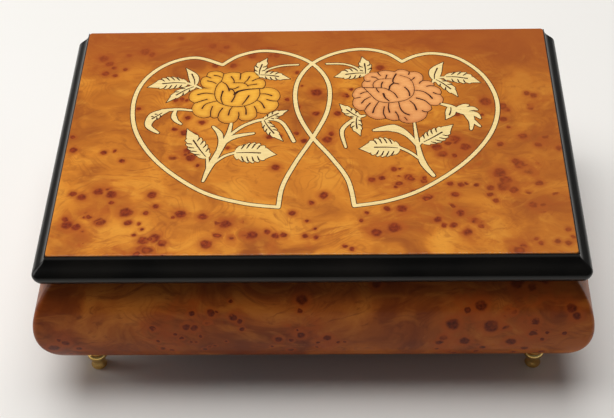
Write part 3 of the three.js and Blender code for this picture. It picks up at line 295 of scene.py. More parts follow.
# Single eyes on the lid, given the same way.
LID_EYES = [
    (-90, 33, 1.2), (-86.5, 31, 1.6), (-80.5, 34, 1.6), (-75.5, 32.5, 1.8), (-75, 28, 1.0),
    (-60, 32, 1.6), (-58, 25.7, 1.2), (-61.5, 22, 0.9), (-78, 17.5, 1.9), (-67.5, 17, 1.4),
    (-69, 22.5, 2.2), (-90, 16, 1.9), (-86.5, 14.8, 1.6), (-91, 19, 1.2), (-84, 20, 0.7),
    (-63.5, 16.5, 0.7), (-62, 13.5, 0.7), (-64.5, 10.5, 0.8), (-51, 19.7, 0.7), (-48.5, 21.5, 1.9),
    (-40, 20, 1.6), (-31.5, 16, 2.0), (-21.5, 10, 1.9), (-16, 11.5, 1.1), (-12.8, 9.7, 1.2),
    (-10, 10, 1.2), (-61, 7.5, 1.8), (-57, 8.8, 2.0), (-54, 6, 1.6), (-61, 3, 1.8),
    (-38, 5.5, 2.0), (-7, 21.5, 1.2), (-2, 9.5, 1.1), (2, 8.8, 1.0), (1.5, 13, 0.6),
    (-1.5, 17.2, 0.7), (4.5, 31, 1.6), (0, 27, 0.9), (-14, 47, 1.6), (-48.5, 57, 1.6),
    (-47, 53, 1.8), (-44, 48.5, 0.8), (-73.5, 51.5, 1.0), (-77, 57.5, 0.7), (-81, 56.5, 1.1),
    (-93, 58, 1.3), (-94.5, 66, 1.0), (-47, 66.5, 1.4), (-50.5, 68, 1.4), (-54.5, 70, 1.1),
    (-55.5, 88, 0.9), (-53, 88.5, 0.8), (-51, 88, 0.8), (-52.5, 97.5, 1.0), (-70, 83, 1.0),
    (-44, 74, 1.2), (-33, 58.5, 0.9), (-17, 65, 1.3), (-13, 65.5, 0.9), (-10.5, 88, 0.9),
    (-6, 83, 0.9), (1, 92.3, 2.0), (1, 79, 1.3), (-5, 96.5, 0.5), (5.5, 63, 1.7),
    (-3.5, 62.5, 1.1), (-6.5, 67, 1.0), (7, 66.5, 1.0), (-43, 124, 1.5), (-37, 123, 1.2),
    (-26, 117, 1.6), (-18, 117, 0.9), (-22, 121.5, 0.8), (-41, 110.5, 1.3), (-33.5, 110.5, 1.3),
    (-7, 105.5, 0.9), (-71, 120.5, 1.8), (-68, 118.5, 1.3), (-77.5, 118, 0.9), (-86, 106, 1.3),
    (-83, 109.5, 1.0), (-82, 104.5, 1.0), (-78, 108.5, 0.9), (-88, 116, 1.8), (-85, 112.5, 1.6),
    (-56.5, 129.5, 1.0), (-50, 77, 1.1), (13, 90, 1.2), (9.5, 79, 1.4), (15, 94, 0.8),
    (27, 108, 1.6), (85.5, 90.5, 1.1), (88, 89.2, 1.3), (68.5, 85.5, 2.1), (76.5, 80.5, 1.3),
    (74.8, 74.5, 1.2), (86, 81, 0.9), (76.5, 69.8, 0.7), (72.5, 59.5, 1.3), (81.5, 64, 1.5),
    (87, 59, 1.2), (95, 57, 1.2), (66.8, 77.5, 0.8), (57, 78, 1.3), (55, 62.5, 2.2), (59, 58, 1.8),
    (48, 58, 1.8), (50, 54, 1.6), (54.5, 53, 1.0), (79, 47.5, 2.0), (77.5, 49.5, 1.4),
    (71, 43, 2.3), (73, 39, 2.0), (72, 35.5, 2.2), (75.5, 33.5, 1.5), (67, 34.5, 1.2),
    (66.5, 31, 1.0), (68.5, 27.5, 1.0), (61.8, 36.2, 0.9), (58, 37, 0.7), (85.5, 37, 1.3),
    (82, 25, 1.5), (31, 45.5, 1.2), (26.5, 40.5, 1.2), (22.5, 39.7, 1.2), (36.5, 40.8, 1.5),
    (42, 38.5, 1.1), (31.5, 35.5, 0.8), (44, 30, 1.1), (28, 23.5, 1.2), (33.5, 23.5, 1.7),
    (20.5, 21.5, 0.8), (18.5, 17.5, 0.8), (24, 11, 1.8), (30.5, 13.5, 2.2), (12.5, 4, 0.8),
    (15, 2.5, 0.9), (52, 37, 1.0), (56, 36.5, 1.1), (53.5, 31, 1.3), (55, 21, 1.5), (60, 17, 1.3),
    (52, 14.5, 1.3), (57, 11, 1.6), (62, 14, 1.1), (46.5, 17.5, 1.4), (48.5, 14.5, 1.0),
    (76.5, 3.5, 1.1), (83, 5, 0.9), (81.5, 7.2, 0.7), (89, 6, 1.0), (93, 5, 1.1), (93.5, 12, 0.8),
    (95, 8, 0.8),
]
CASE_CLUSTERS = [
    (-92, 30, 9), (-42, 40, 14), (-28, 45, 9), (-52, 27, 7), (-3, 42, 12), (4, 30, 10),
    (60, 40, 13), (78, 34, 12), (88, 48, 12), (54, 26, 9),
]
# Single eyes on the front of the case as (x, height, radius).
CASE_EYES = [
    (-97.4, 27.6, 1.9), (-92.4, 31, 1.3), (-88, 27, 1.2), (-94.8, 33, 0.8), (-92, 21.6, 0.9),
    (-56.3, 26.8, 1.0), (-53, 25.4, 0.9), (-46.5, 39.8, 1.2), (-43.4, 39.2, 1.2),
    (-44.2, 45.4, 1.0), (-37, 45.4, 1.2), (-35, 46, 0.5), (-29, 43.8, 1.3), (-26.6, 42, 1.0),
    (-26, 38.6, 0.8), (-29.6, 49.6, 0.7), (-51, 36, 0.7), (-48.6, 34, 0.7), (-45.4, 31.5, 0.6),
    (-43.4, 31.5, 0.6), (-41.5, 35, 0.6), (-40.5, 26, 0.8), (-38.6, 28, 0.6), (-36.3, 28.8, 0.6),
    (-32, 32, 0.5), (-3.5, 50, 1.8), (-4.4, 46.2, 0.9), (-4.2, 35.3, 1.4), (-7.9, 32.3, 0.8),
    (-12.5, 33, 1.3), (-15, 28, 0.6), (-8.3, 25, 1.1), (2, 31, 0.7), (1.6, 27.6, 0.6),
    (5.6, 33.6, 1.4), (9.5, 31, 0.6), (12, 31.3, 0.6), (24, 54.6, 1.5), (51.8, 40.2, 2.1),
    (61.9, 47.6, 1.9), (65.8, 39.3, 2.4), (48.7, 33.4, 1.3), (47.2, 30.5, 1.3), (46.3, 25.4, 0.8),
    (56.4, 31.3, 1.8), (63.3, 26.5, 1.1), (61.2, 23, 1.0), (53.2, 20.8, 1.0), (73.6, 30.7, 1.8),
    (79, 25.9, 1.3), (75.3, 21.7, 0.8), (74, 45.2, 0.9), (81.8, 41.4, 1.4), (82, 36.8, 1.0),
    (85, 32.2, 0.9), (86.7, 36, 0.7), (85.8, 22, 1.0), (93, 35.8, 0.8), (95, 46.5, 1.6),
    (97, 43.5, 1.4), (75, 54.6, 2.2), (85, 56, 2.2),
]
# Clusters on both ends of the case as (y, height, radius), and on its back as (x, height, radius).
END_CLUSTERS = [(-38, 42, 13), (4, 33, 14), (46, 45, 12)]
BACK_CLUSTERS = [(-72, 42, 13), (-18, 30, 13), (36, 46, 12), (82, 32, 11)]


def outward(z):
    """How far the bulging case stands out past the lid's sheet at a height."""
    return BULGE - BULGE_RADIUS + math.sqrt(BULGE_RADIUS ** 2 - (z - BULGE_HEIGHT) ** 2)


def case_clusters():
    found = [(x, FRONT - outward(z), z, r) for x, z, r in CASE_CLUSTERS]
    found += [(side * (HALF + outward(z)), y, z, r) for side in (-1, 1) for y, z, r in END_CLUSTERS]
    return found + [(x, BACK, z, r) for x, z, r in BACK_CLUSTERS]


LID_TONES = ((0.31, 0.075, 0.008), (0.47, 0.14, 0.012), (0.62, 0.21, 0.018), (0.74, 0.30, 0.032))
CASE_TONES = ((0.13, 0.022, 0.003), (0.22, 0.045, 0.005), (0.33, 0.080, 0.009), (0.46, 0.14, 0.018))


def lid_painted_shade(s, colour):
    """Painted shade: the sheet is painted redder and darker towards the back and the right, where
    less light falls.
    """
    parts = s.node("ShaderNodeSeparateXYZ")
    s.feed(parts.inputs[0], s.warp(0.03, 9.0))
    back = s.step(parts.outputs[1], BACK - 42, BACK - 2, 0.0, 0.75)
    right = s.step(parts.outputs[0], HALF - 60, HALF + 5, 0.0, 0.45)
    colour = s.mix(back, colour, (0.34, 0.070, 0.010))
    return s.mix(right, colour, (0.33, 0.085, 0.015))


def case_painted_lid_shadow(s, colour):
    """Painted shadow of the lid: the case is painted darker close under the lid, so it stays redder
    low down.
    """
    parts = s.node("ShaderNodeSeparateXYZ")
    s.feed(parts.inputs[0], s.warp(0.04, 4.0))
    return s.mix(s.step(parts.outputs[2], 46, 60, 0.0, 0.6), colour, (0.10, 0.022, 0.005))


def lacquer():
    s = Shader("black_lacquer")
    cloud = s.noise(0.05, 3.0)
    colour = s.ramp(cloud, [(0.3, (0.002, 0.0018, 0.0015)), (0.7, (0.006, 0.005, 0.004))])
    dust = s.noise(2.5, 2.0)
    s.bump(dust, 0.02, 0.05)
    return polish(s, colour, 0.3, 0.3, 0.05)


def inlay(name, dark, light, scorched=None):
    """Straight-grained inlay, darkened in hot sand where the piece's scorch attribute says."""
    s = Shader(name)
    grain = s.noise(0.9, 4.0, 0.6, 0.6, s.stretch((0.25, 2.0, 1.0)))
    colour = s.ramp(grain, [(0.3, dark), (0.65, light)])
    if scorched:
        colour = s.mix(s.math("MULTIPLY", s.attribute("scorch"), 0.85, True), colour, scorched)
    return polish(s, colour, 0.45)


def plain_wood():
    dark, light = (0.06, 0.018, 0.007), (0.13, 0.042, 0.014)
    s = Shader("plain_wood")
    grain = s.noise(0.12, 6.0, 0.65, 1.6, s.stretch((0.12, 1.0, 1.0), s.warp(0.02, 4.0)))
    colour = s.ramp(grain, [(0.3, dark), (0.7, light)])
    pores = s.noise(2.2, 2.0, 0.5, 0.0, s.stretch((0.15, 1.0, 1.0)))
    colour = s.mix(s.step(pores, 0.55, 0.8, 0.0, 0.35), colour, dark)
    s.bump(pores, 0.15, 0.05)
    return polish(s, colour, 0.5, 0.25, 0.3)


def velvet():
    s = Shader("velvet")
    nap = s.noise(0.06, 3.0, 0.6, 0.8)
    pile = s.noise(5.0, 2.0, 0.7)
    brushed = s.ramp(nap, [(0.35, (0.075, 0.002, 0.006)), (0.65, (0.17, 0.006, 0.014))])
    colour = s.mix(s.step(pile, 0.35, 0.75, 0.0, 0.45), brushed, (0.26, 0.014, 0.028))
    s.bump(pile, 0.5, 0.25)
    return s.finish(
        colour,
        Roughness=0.95,
        Sheen_Weight=0.45,
        Sheen_Roughness=0.35,
        Sheen_Tint=(1.0, 0.35, 0.4, 1.0),
        Specular_IOR_Level=0.15,
    )


def metal(name, dark, light, roughness, brushed=(1.0, 1.0, 1.0), bump=0.03):
    s = Shader(name)
    wear = s.noise(0.25, 4.0, 0.6)
    lines = s.noise(3.0, 3.0, 0.6, 0.0, s.stretch(brushed))
    colour = s.mix(s.step(wear, 0.35, 0.7), dark, light)
    dull = s.math("ADD", roughness, s.math("MULTIPLY", lines, 0.12))
    s.bump(lines, bump, 0.1)
    return s.finish(colour, Metallic=1.0, Roughness=dull)


def acrylic():
    s = Shader("clear_acrylic")
    haze = s.noise(0.05, 2.0)
    colour = s.mix(haze, (0.93, 0.97, 0.98), (0.98, 1.0, 1.0))
    return s.finish(colour, Roughness=0.03, Transmission_Weight=1.0, IOR=1.49)


def cut_line():
    s = Shader("cut_line")
    smoke = s.noise(0.8, 3.0)
    colour = s.ramp(smoke, [(0.3, (0.030, 0.007, 0.002)), (0.7, (0.075, 0.018, 0.005))])
    return polish(s, colour, 0.5)


def floor_paper():
    s = Shader("floor_paper")
    cloud = s.noise(0.004, 2.0)
    colour = s.ramp(cloud, [(0.3, (0.83, 0.82, 0.80)), (0.7, (0.87, 0.86, 0.845))])
    return s.finish(colour, Roughness=0.75, Specular_IOR_Level=0.2)


MATERIALS = {
    "burl_veneer": burl(
        "burl_veneer", LID_TONES, ((0.15, 0.016, 0.002), (0.34, 0.050, 0.005)),
        (0.40, 0.085, 0.008),
        [(x, FRONT + y, SHEET_TOP, r) for x, y, r in LID_EYES],
        [(x, FRONT + y, SHEET_TOP, r) for x, y, r in LID_CLUSTERS], lid_painted_shade),
    "case_veneer": burl(
        "case_veneer", CASE_TONES, ((0.075, 0.010, 0.001), (0.19, 0.024, 0.002)),
        (0.35, 0.062, 0.005),
        [(x, FRONT - outward(z), z, r) for x, z, r in CASE_EYES],
        case_clusters(), case_painted_lid_shadow, coat=0.12),
    "black_lacquer": lacquer(),
    "cream_inlay": inlay("cream_inlay", (0.78, 0.57, 0.24), (0.91, 0.72, 0.34)),
    "gold_inlay": inlay(
        "gold_inlay", (0.80, 0.38, 0.035), (0.90, 0.47, 0.055), scorched=(0.40, 0.09, 0.01)),
    "salmon_inlay": inlay(
        "salmon_inlay", (0.78, 0.33, 0.10), (0.88, 0.42, 0.15), scorched=(0.42, 0.09, 0.02)),
    "cut_line": cut_line(),
    "plain_wood": plain_wood(),
    "velvet": velvet(),
    "brass": metal("brass", (0.72, 0.47, 0.14), (0.86, 0.62, 0.24), 0.16),
    "steel": metal("steel", (0.50, 0.50, 0.51), (0.66, 0.66, 0.67), 0.22, (0.2, 3.0, 1.0)),
    "zinc_casting": metal("zinc_casting", (0.40, 0.39, 0.37), (0.55, 0.54, 0.51), 0.42, bump=0.12),
    "clear_acrylic": acrylic(),
    "floor_paper": floor_paper(),
}


# ---------- mesh building ----------

SHARP = math.radians(32)  # edges sharper than this stay crisp
# Faces square to an axis and larger than this, in square metres, are shaded flat.
FLAT_AREA = 4e-6


def to_object(name, bm, material, body, slot=None, replaces=(), smooth=True):
    """A finished bmesh in millimetres becomes a piece that rides on a CAD body."""
    bmesh.ops.scale(bm, vec=(MM, MM, MM), verts=bm.verts)
    bmesh.ops.recalc_face_normals(bm, faces=bm.faces)
    bm.normal_update()
    for face in bm.faces:
        square = max(abs(part) for part in face.normal) > 0.999999
        face.smooth = smooth and not (square and face.calc_area() > FLAT_AREA)
    for edge in bm.edges:
        edge.smooth = len(edge.link_faces) == 2 and edge.calc_face_angle(0.0) < SHARP
    mesh = bpy.data.meshes.new(name)
    bm.to_mesh(mesh)
    bm.free()
    mesh.materials.append(MATERIALS[material])
    piece = bpy.data.objects.new(name, mesh)
    bpy.context.collection.objects.link(piece)
    if body:
        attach(piece, body)
        slot or material
    if replaces:
        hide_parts(*replaces)
    return piece


def loft(bm, sections, closed=False):
    """Joins equal rings of points into a skin; open lofts are capped."""
    rings = [[bm.verts.new(point) for point in section] for section in sections]
    count = len(rings[0])
    pairs = list(zip(rings, rings[1:]))
    if closed:
        pairs.append((rings[-1], rings[0]))
    for near, far in pairs:
        for i in range(count):
            j = (i + 1) % count
            bm.faces.new((near[i], near[j], far[j], far[i]))
    if not closed:
        bm.faces.new(list(reversed(rings[0])))
        bm.faces.new(rings[-1])


def turned(bm, profile, centre, axis="z", segments=48):
    """Turns a (radius, along) profile that starts and ends on the axis."""
    def spot(radius, along, angle):
        a, b = radius * math.cos(angle), radius * math.sin(angle)
        return {"z": (a, b, along), "x": (along, a, b)}[axis]

    ring = []
    for radius, along in profile:
        if radius < 1e-6:
            ring.append([bm.verts.new(Vector(centre) + Vector(spot(0, along, 0)))])
            continue
        angles = [2 * math.pi * i / segments for i in range(segments)]
        ring.append([bm.verts.new(Vector(centre) + Vector(spot(radius, along, a))) for a in angles])
    for near, far in zip(ring, ring[1:]):
        for i in range(segments):
            j = (i + 1) % segments
            # A ring on the axis holds one point, which stands for all of its corners.
            corners = [near[i % len(near)], near[j % len(near)]]
            corners += [far[j % len(far)], far[i % len(far)]]
            face = list(dict.fromkeys(corners))
            if len(face) > 2:
                bm.faces.new(face)


def rounded_box(bm, low, high, radius, steps=3):
    """A box whose edges are rounded."""
    centre = (Vector(low) + Vector(high)) / 2
    size = Vector(high) - Vector(low)
    made = bmesh.ops.create_cube(bm, size=1.0)
    corners = made["verts"]
    bmesh.ops.scale(bm, vec=size, verts=corners)
    bmesh.ops.translate(bm, vec=centre, verts=corners)
    sides = list({edge for vert in corners for edge in vert.link_edges})
    bmesh.ops.bevel(bm, geom=sides, offset=radius, segments=steps, profile=0.5, affect="EDGES")


def bezier(a, b, c, d, steps):
    """Points of one cubic curve, without its last point."""
    points = []
    for i in range(steps):
        t = i / steps
        u = 1 - t
        points.append(tuple(
            u ** 3 * p + 3 * u * u * t * q + 3 * u * t * t * r + t ** 3 * s
            for p, q, r, s in zip(a, b, c, d)
        ))
    return points


def spline(points, steps=6, closed=False):
    """A smooth line through 2-D points, with steps points between each pair."""
    count = len(points)
    line = []
    spans = count if closed else count - 1
    for i in range(spans):
        a = points[(i - 1) % count] if closed or i > 0 else points[0]
        b = points[i]
        c = points[(i + 1) % count]
        d = points[(i + 2) % count] if closed or i + 2 < count else c
        for k in range(steps):
            t = k / steps
            line.append(tuple(
                0.5 * (2 * q + (r - p) * t + (2 * p - 5 * q + 4 * r - s) * t * t
                       + (3 * q - p - 3 * r + s) * t ** 3)
                for p, q, r, s in zip(a, b, c, d)
            ))
    if not closed:
        line.append(points[-1])
    return line


# ---------- edges swept round the front and the sides ----------


def corner_sweep(name, profile, rounding, material, body, nodes, inner=-HALF):
    """Sweeps (outward, height) points round the left, front and right, mitred in three pieces.

    rounding gives the corner's radius at a distance outward; points no further out than inner
    turn sharply.
    """
    steps = 6

    def at(out, height, side, turn):
        # turn runs from 0, facing sideways, to 1, facing the front.
        radius = rounding(out) if out > inner else 0.0
        angle = turn * math.pi / 2
        x = HALF + out - radius + radius * math.cos(angle)
        y = FRONT - out + radius - radius * math.sin(angle)
        return (side * x, y, height)

    def row(side, turn):
        return [at(out, height, side, turn) for out, height in profile]

    def back(side):
        return [(side * (HALF + out), BACK, height) for out, height in profile]

    half_turn = [0.5 * i / steps for i in range(steps + 1)]
    to_front = [0.5 + t for t in half_turn]
    left, front, right = nodes
    runs = {
        left: [back(-1)] + [row(-1, t) for t in half_turn],
        front: [row(-1, t) for t in to_front] + [row(1, t) for t in reversed(to_front)],
        right: [row(1, t) for t in reversed(half_turn)] + [back(1)],
    }
    for node, sections in runs.items():
        bm = bmesh.new()
        loft(bm, sections)
        to_object(f"{name}_{node}", bm, material, body, replaces=[node])


def build_case_sides():
    """Walls with flat inner faces and a bulging outside, eased along every edge."""
    ease = 0.3
    foot_ease = 0.45
    corner_radius = 2.2
    steps = 40
    profile = [(-WALL_INSET, RIM - ease), (-WALL_INSET, CASE_FOOT)]
    profile.append((outward(CASE_FOOT) - 0.7, CASE_FOOT))
    for i in range(steps + 1):
        z = CASE_FOOT + foot_ease + (RIM - CASE_FOOT - foot_ease - ease) * i / steps
        profile.append((outward(z), z))
    profile.append((outward(RIM) - 0.4, RIM))
    profile.append((-WALL_INSET + ease, RIM))
    corner_sweep("case", profile, lambda out: corner_radius, "case_veneer", "case",
                 ("left_panel", "front_panel", "right_panel"), inner=-WALL_INSET + 1)


def build_lipping():
    """Black moulding: a small step at the sheet, a hollow slope, and a rounded nose."""
    under = edges("molding_front")[0].z
    nose = (5.35, TOP - 6.7)
    toe = (4.3, under + 0.3)
    curve = bezier((0.55, TOP - 1.45), (1.3, TOP - 3.9), (4.6, TOP - 4.5), nose, 12)
    curve += bezier(nose, (5.55, TOP - 7.8), (5.0, TOP - 9.2), toe, 8)
    profile = [(0.06, TOP - 0.5), (0.06, under), (3.9, under), toe]
    profile += list(reversed(curve))
    profile += [(0.5, TOP - 1.25), (0.42, TOP - 0.62), (0.3, TOP - 0.5)]
    corner_sweep("lipping", profile, lambda out: 0.4 + 0.5 * max(out, 0.0), "black_lacquer", "lid",
                 ("molding_left", "molding_front", "molding_right"))


def build_back_panel():
    bm = bmesh.new()
    rounded_box(bm, BACK_LOW, BACK_HIGH, 0.25, 2)
    to_object("back_board", bm, "case_veneer", "case", replaces=["back_panel"])


# ---------- lid sheet ----------


def rounded_outline(low, high, radius, steps=5):
    """A rectangle with rounded corners, from the one at high round to the others."""
    points = []
    corners = ((high[0], high[1]), (low[0], high[1]), (low[0], low[1]), (high[0], low[1]))
    for quarter, (cx, cy) in enumerate(corners):
        sx = -1 if cx == high[0] else 1
        sy = -1 if cy == high[1] else 1
        for i in range(steps + 1):
            angle = (quarter + i / steps) * math.pi / 2
            points.append((cx + sx * radius + radius * math.cos(angle),
                           cy + sy * radius + radius * math.sin(angle)))
    return points


def build_lid_sheet():
    """The burl sheet, with a rounded top edge."""
    radius = 1.2
    edge = 0.35
    rims = [
        (0.0, SHEET_LOW.z), (0.0, SHEET_TOP - edge), (0.04, SHEET_TOP - 0.5 * edge),
        (0.12, SHEET_TOP - 0.2 * edge), (0.3, SHEET_TOP),
    ]
    sections = []
    for inset, z in rims:
        low, high = (-HALF + inset, FRONT + inset), (HALF - inset, BACK - inset)
        sections.append([(x, y, z) for x, y in rounded_outline(low, high, radius - inset)])
    bm = bmesh.new()
    loft(bm, sections)
    to_object("lid_sheet", bm, "burl_veneer", "lid", replaces=["lid_veneer"])


# ---------- marquetry ----------
# Plan points are (x, distance behind the sheet's front edge).

INLAY_LOW = SHEET_TOP - 0.1
LINE_TOP = SHEET_TOP + 0.02  # dark lines round the inlays
FILL_TOP = SHEET_TOP + 0.045  # inlays
STROKE_TOP = SHEET_TOP + 0.065  # cuts across the inlays
EDGE_LINE = 0.38  # width of the dark line round an inlay
HEART_LINE = 0.32
HEART_WIDTH = 1.6
SLOTS = {item["slot"] for item in frame["record"]["materials"]}


def ribbon(points, widths, grow=0.0, steps=6, smooth=True):
    """Outline of a line whose width runs through widths from start to end."""
    line = spline(points, steps) if smooth else points
    count = len(line)
    left, right = [], []
    for i, (x, y) in enumerate(line):
        ax, ay = line[max(i - 1, 0)]
        bx, by = line[min(i + 1, count - 1)]
        length = math.hypot(bx - ax, by - ay) or 1.0
        tx, ty = (bx - ax) / length, (by - ay) / length
        spot = i / (count - 1) * (len(widths) - 1)
        low = min(int(spot), len(widths) - 2)
        width = widths[low] + (widths[low + 1] - widths[low]) * (spot - low)
        reach = width / 2 + grow
        left.append((x - ty * reach, y + tx * reach))
        right.append((x + ty * reach, y - tx * reach))
    return rounded_ends(left, right, line)


def rounded_ends(left, right, line):
    """Closes a ribbon with a half round at each end."""
    def cap(a, b):
        cx, cy = (a[0] + b[0]) / 2, (a[1] + b[1]) / 2
        radius = math.hypot(a[0] - b[0], a[1] - b[1]) / 2
        start = math.atan2(a[1] - cy, a[0] - cx)
        turns = [start - math.pi * k / 5 for k in range(1, 5)]
        return [(cx + radius * math.cos(turn), cy + radius * math.sin(turn)) for turn in turns]

    return left + cap(left[-1], right[-1]) + right[::-1] + cap(right[0], left[0])


def disc(x, y, radius, steps=14):
    turns = [2 * math.pi * i / steps for i in range(steps)]
    return [(x + radius * math.cos(turn), y + radius * math.sin(turn)) for turn in turns]


# The toothed part of each side of a leaf, and how deep its notches are; beyond that part the
# leaf runs smoothly to its tip.
FIRST_TOOTH = 0.12
LAST_TOOTH = 0.74
NOTCH = 0.26


def leaf(start, end, width, teeth, bend):
    """Outline of a leaf, the cuts that run in from its notches, and its midrib."""
    ax, ay = start
    length = math.hypot(end[0] - ax, end[1] - ay)
    ux, uy = (end[0] - ax) / length, (end[1] - ay) / length
    pitch = (LAST_TOOTH - FIRST_TOOTH) / max(teeth, 1)
    stagger = {-1: 0.0, 1: 0.3}
    steps = 40

    def spot(t, reach):
        sway = bend * math.sin(math.pi * t) + reach
        return (ax + ux * t * length - uy * sway, ay + uy * t * length + ux * sway)

    def full(t):
        blunt = 0.65 if t < 0.4 else 1.15
        return width / 2 * max(math.sin(math.pi * min(max(t, 0.0), 1.0) ** 0.757), 0.0) ** blunt

    def side(sign):
        edge = []
        for i in range(1, steps):
            t = i / steps
            scale, lean = 1.0, 0.0
            if teeth and FIRST_TOOTH < t < LAST_TOOTH:
                phase = ((t - FIRST_TOOTH) / pitch + stagger[sign]) % 1.0
                lobe = math.sin(math.pi * phase ** 1.3) ** 0.6
                scale = 1 - NOTCH + NOTCH * lobe
                lean = 0.35 * pitch * lobe
            edge.append(spot(t + lean, sign * full(t) * scale))
        return edge

    cuts = []
    for sign in (-1, 1):
        for k in range(1, teeth):
            t = FIRST_TOOTH + (k - stagger[sign]) * pitch
            outer = spot(t, sign * full(t) * (1 - 0.7 * NOTCH))
            inner = spot(t - 0.05, sign * full(t) * 0.42)
            cuts.append((outer, inner))
    outline = [start] + side(-1) + [end] + side(1)[::-1]
    return outline, cuts, [spot(t, 0.0) for t in (0.06, 0.3, 0.62)]


def counter_clockwise(outline):
    area = sum(a[0] * b[1] - b[0] * a[1] for a, b in zip(outline, outline[1:] + outline[:1]))
    return outline if area > 0 else outline[::-1]


def plan_triangles(outlines, grain):
    """Triangles that cover the outlines, with inner points about grain apart if it is given."""
    points, faces = [], []
    for outline in map(counter_clockwise, outlines):
        faces.append(list(range(len(points), len(points) + len(outline))))
        points.extend(outline)
    if grain:
        left, front = min(x for x, _ in points), min(y for _, y in points)
        columns = int((max(x for x, _ in points) - left) / grain)
        rows = int((max(y for _, y in points) - front) / grain)
        points += [(left + (i + 0.5 * (j % 2)) * grain, front + j * grain)
                   for i in range(columns + 1) for j in range(rows + 1)]
    made = delaunay_2d_cdt([Vector(p) for p in points], [], faces, 1, 1e-5)
    # A triangle that lies in none of the outlines has no source.
    return made[0], [triangle for triangle, sources in zip(made[2], made[5]) if sources]


def flat(name, outlines, low, high, material, node=None, grain=None, scorch=None):
    """Merges plan outlines into one flat plate with upright edges."""
    spots, triangles = plan_triangles(outlines, grain)
    bm = bmesh.new()
    used = {i for triangle in triangles for i in triangle}
    top = {i: bm.verts.new((spots[i].x, FRONT + spots[i].y, high)) for i in used}
    base = {i: bm.verts.new((spots[i].x, FRONT + spots[i].y, low)) for i in used}
    for triangle in triangles:
        bm.faces.new([top[i] for i in triangle])
        bm.faces.new([base[i] for i in reversed(triangle)])
    below = {vert: base[i] for i, vert in top.items()}
    for edge in [e for e in bm.edges if len(e.link_faces) == 1 and e.verts[0].co.z == high]:
        a, b = edge.verts
        bm.faces.new((a, b, below[b], below[a]))
    slot = None if material in SLOTS else "cream_inlay"
    replaces = [node] if node else []
    piece = to_object(name, bm, material, "lid", slot, replaces, smooth=False)
    if scorch:
        layer = piece.data.attributes.new("scorch", "FLOAT", "POINT")
        for i, vert in enumerate(piece.data.vertices):
            layer.data[i].value = scorch(vert.co.x / MM, vert.co.y / MM - FRONT)


HEARTS = {
    "left": (
        [(-38, 111), (-49.5, 116), (-61, 111.8), (-69.5, 101), (-72.5, 86), (-69.5, 68),
         (-59, 49.8), (-42, 34), (-26, 27.2), (-12.3, 24.8)],
        [(-38, 111), (-31.5, 117), (-21.5, 120.2), (-9.5, 117.4), (0.5, 109.5), (6, 97),
         (5.6, 81), (0.5, 65.5), (-6.3, 50), (-11, 36.5), (-12.3, 24.8)],
    ),
    "right": (
        [(36, 112), (42.2, 116), (50, 117.2), (60, 113.2), (69.3, 101), (73.2, 84),
         (69.5, 66.5), (58.5, 49.3), (42.5, 34.8), (29, 28), (16, 25.2)],
        [(36, 112), (29.5, 118), (19.5, 120.7), (8.3, 118), (-1.5, 110.5), (-7, 98),
         (-6.7, 82), (-1.2, 66.5), (7.3, 52.3), (13.6, 39.5), (16, 25.2)],
    ),
}


def heart_outlines(side, grow):
    outer, inner = HEARTS[side]
    widths = [HEART_WIDTH, HEART_WIDTH]
    return [ribbon(outer, widths, grow, 8), ribbon(inner, widths, grow, 8)]


def build_hearts():
    """Two hearts of pale stringing that pass over each other, with a dark line beside them."""
    for i, side in enumerate(HEARTS):
        lift = 0.012 * i
        flat(f"heart_{side}_line", heart_outlines(side, HEART_LINE), INLAY_LOW, LINE_TOP + lift,
             "cut_line")
        flat(f"heart_{side}_string", heart_outlines(side, 0.0), INLAY_LOW, FILL_TOP + lift,
             "cream_inlay", f"inlay_heart_{side}")


# A flower's outline is a chain of lobes: each runs from its first point, through the others, to the
# next lobe's first point. Its strokes are the dark cuts, as (points, start width, end width).
LEFT_LOBES = [
    [(-37.1, 104.8), (-34, 105.8), (-31, 105.5)],
    [(-30.2, 104.5), (-28, 106.1), (-24.6, 105.8), (-22.7, 103.4)],
    [(-22.8, 101.6), (-20.6, 100.4), (-19.9, 97.8), (-20.7, 95.7)],
    [(-21.8, 95), (-18.6, 95.7), (-15, 93.9), (-13.7, 90)],
    [(-14.8, 87), (-14.2, 84.4), (-15.8, 81.2), (-19.4, 79.3)],
    [(-22.7, 80.3), (-22.9, 77.3), (-25.2, 75.2), (-28.2, 75.2)],
    [(-29.8, 77), (-31.2, 74.2), (-34.4, 73.5), (-37, 75)], [(-37.9, 77.4), (-39.5, 76.9)],
    [(-40.9, 78), (-43.6, 77), (-47, 78.8), (-48.6, 82.6)],
    [(-47.7, 86.3), (-49.9, 88.4), (-50.1, 92), (-48, 94.8), (-45, 95.5)],
    [(-42.4, 95.5), (-45, 96.6), (-46.3, 99.8), (-45.6, 102.4)],
    [(-44, 103.2), (-43.4, 105.8), (-41, 106.7), (-38.8, 106.3)],
]
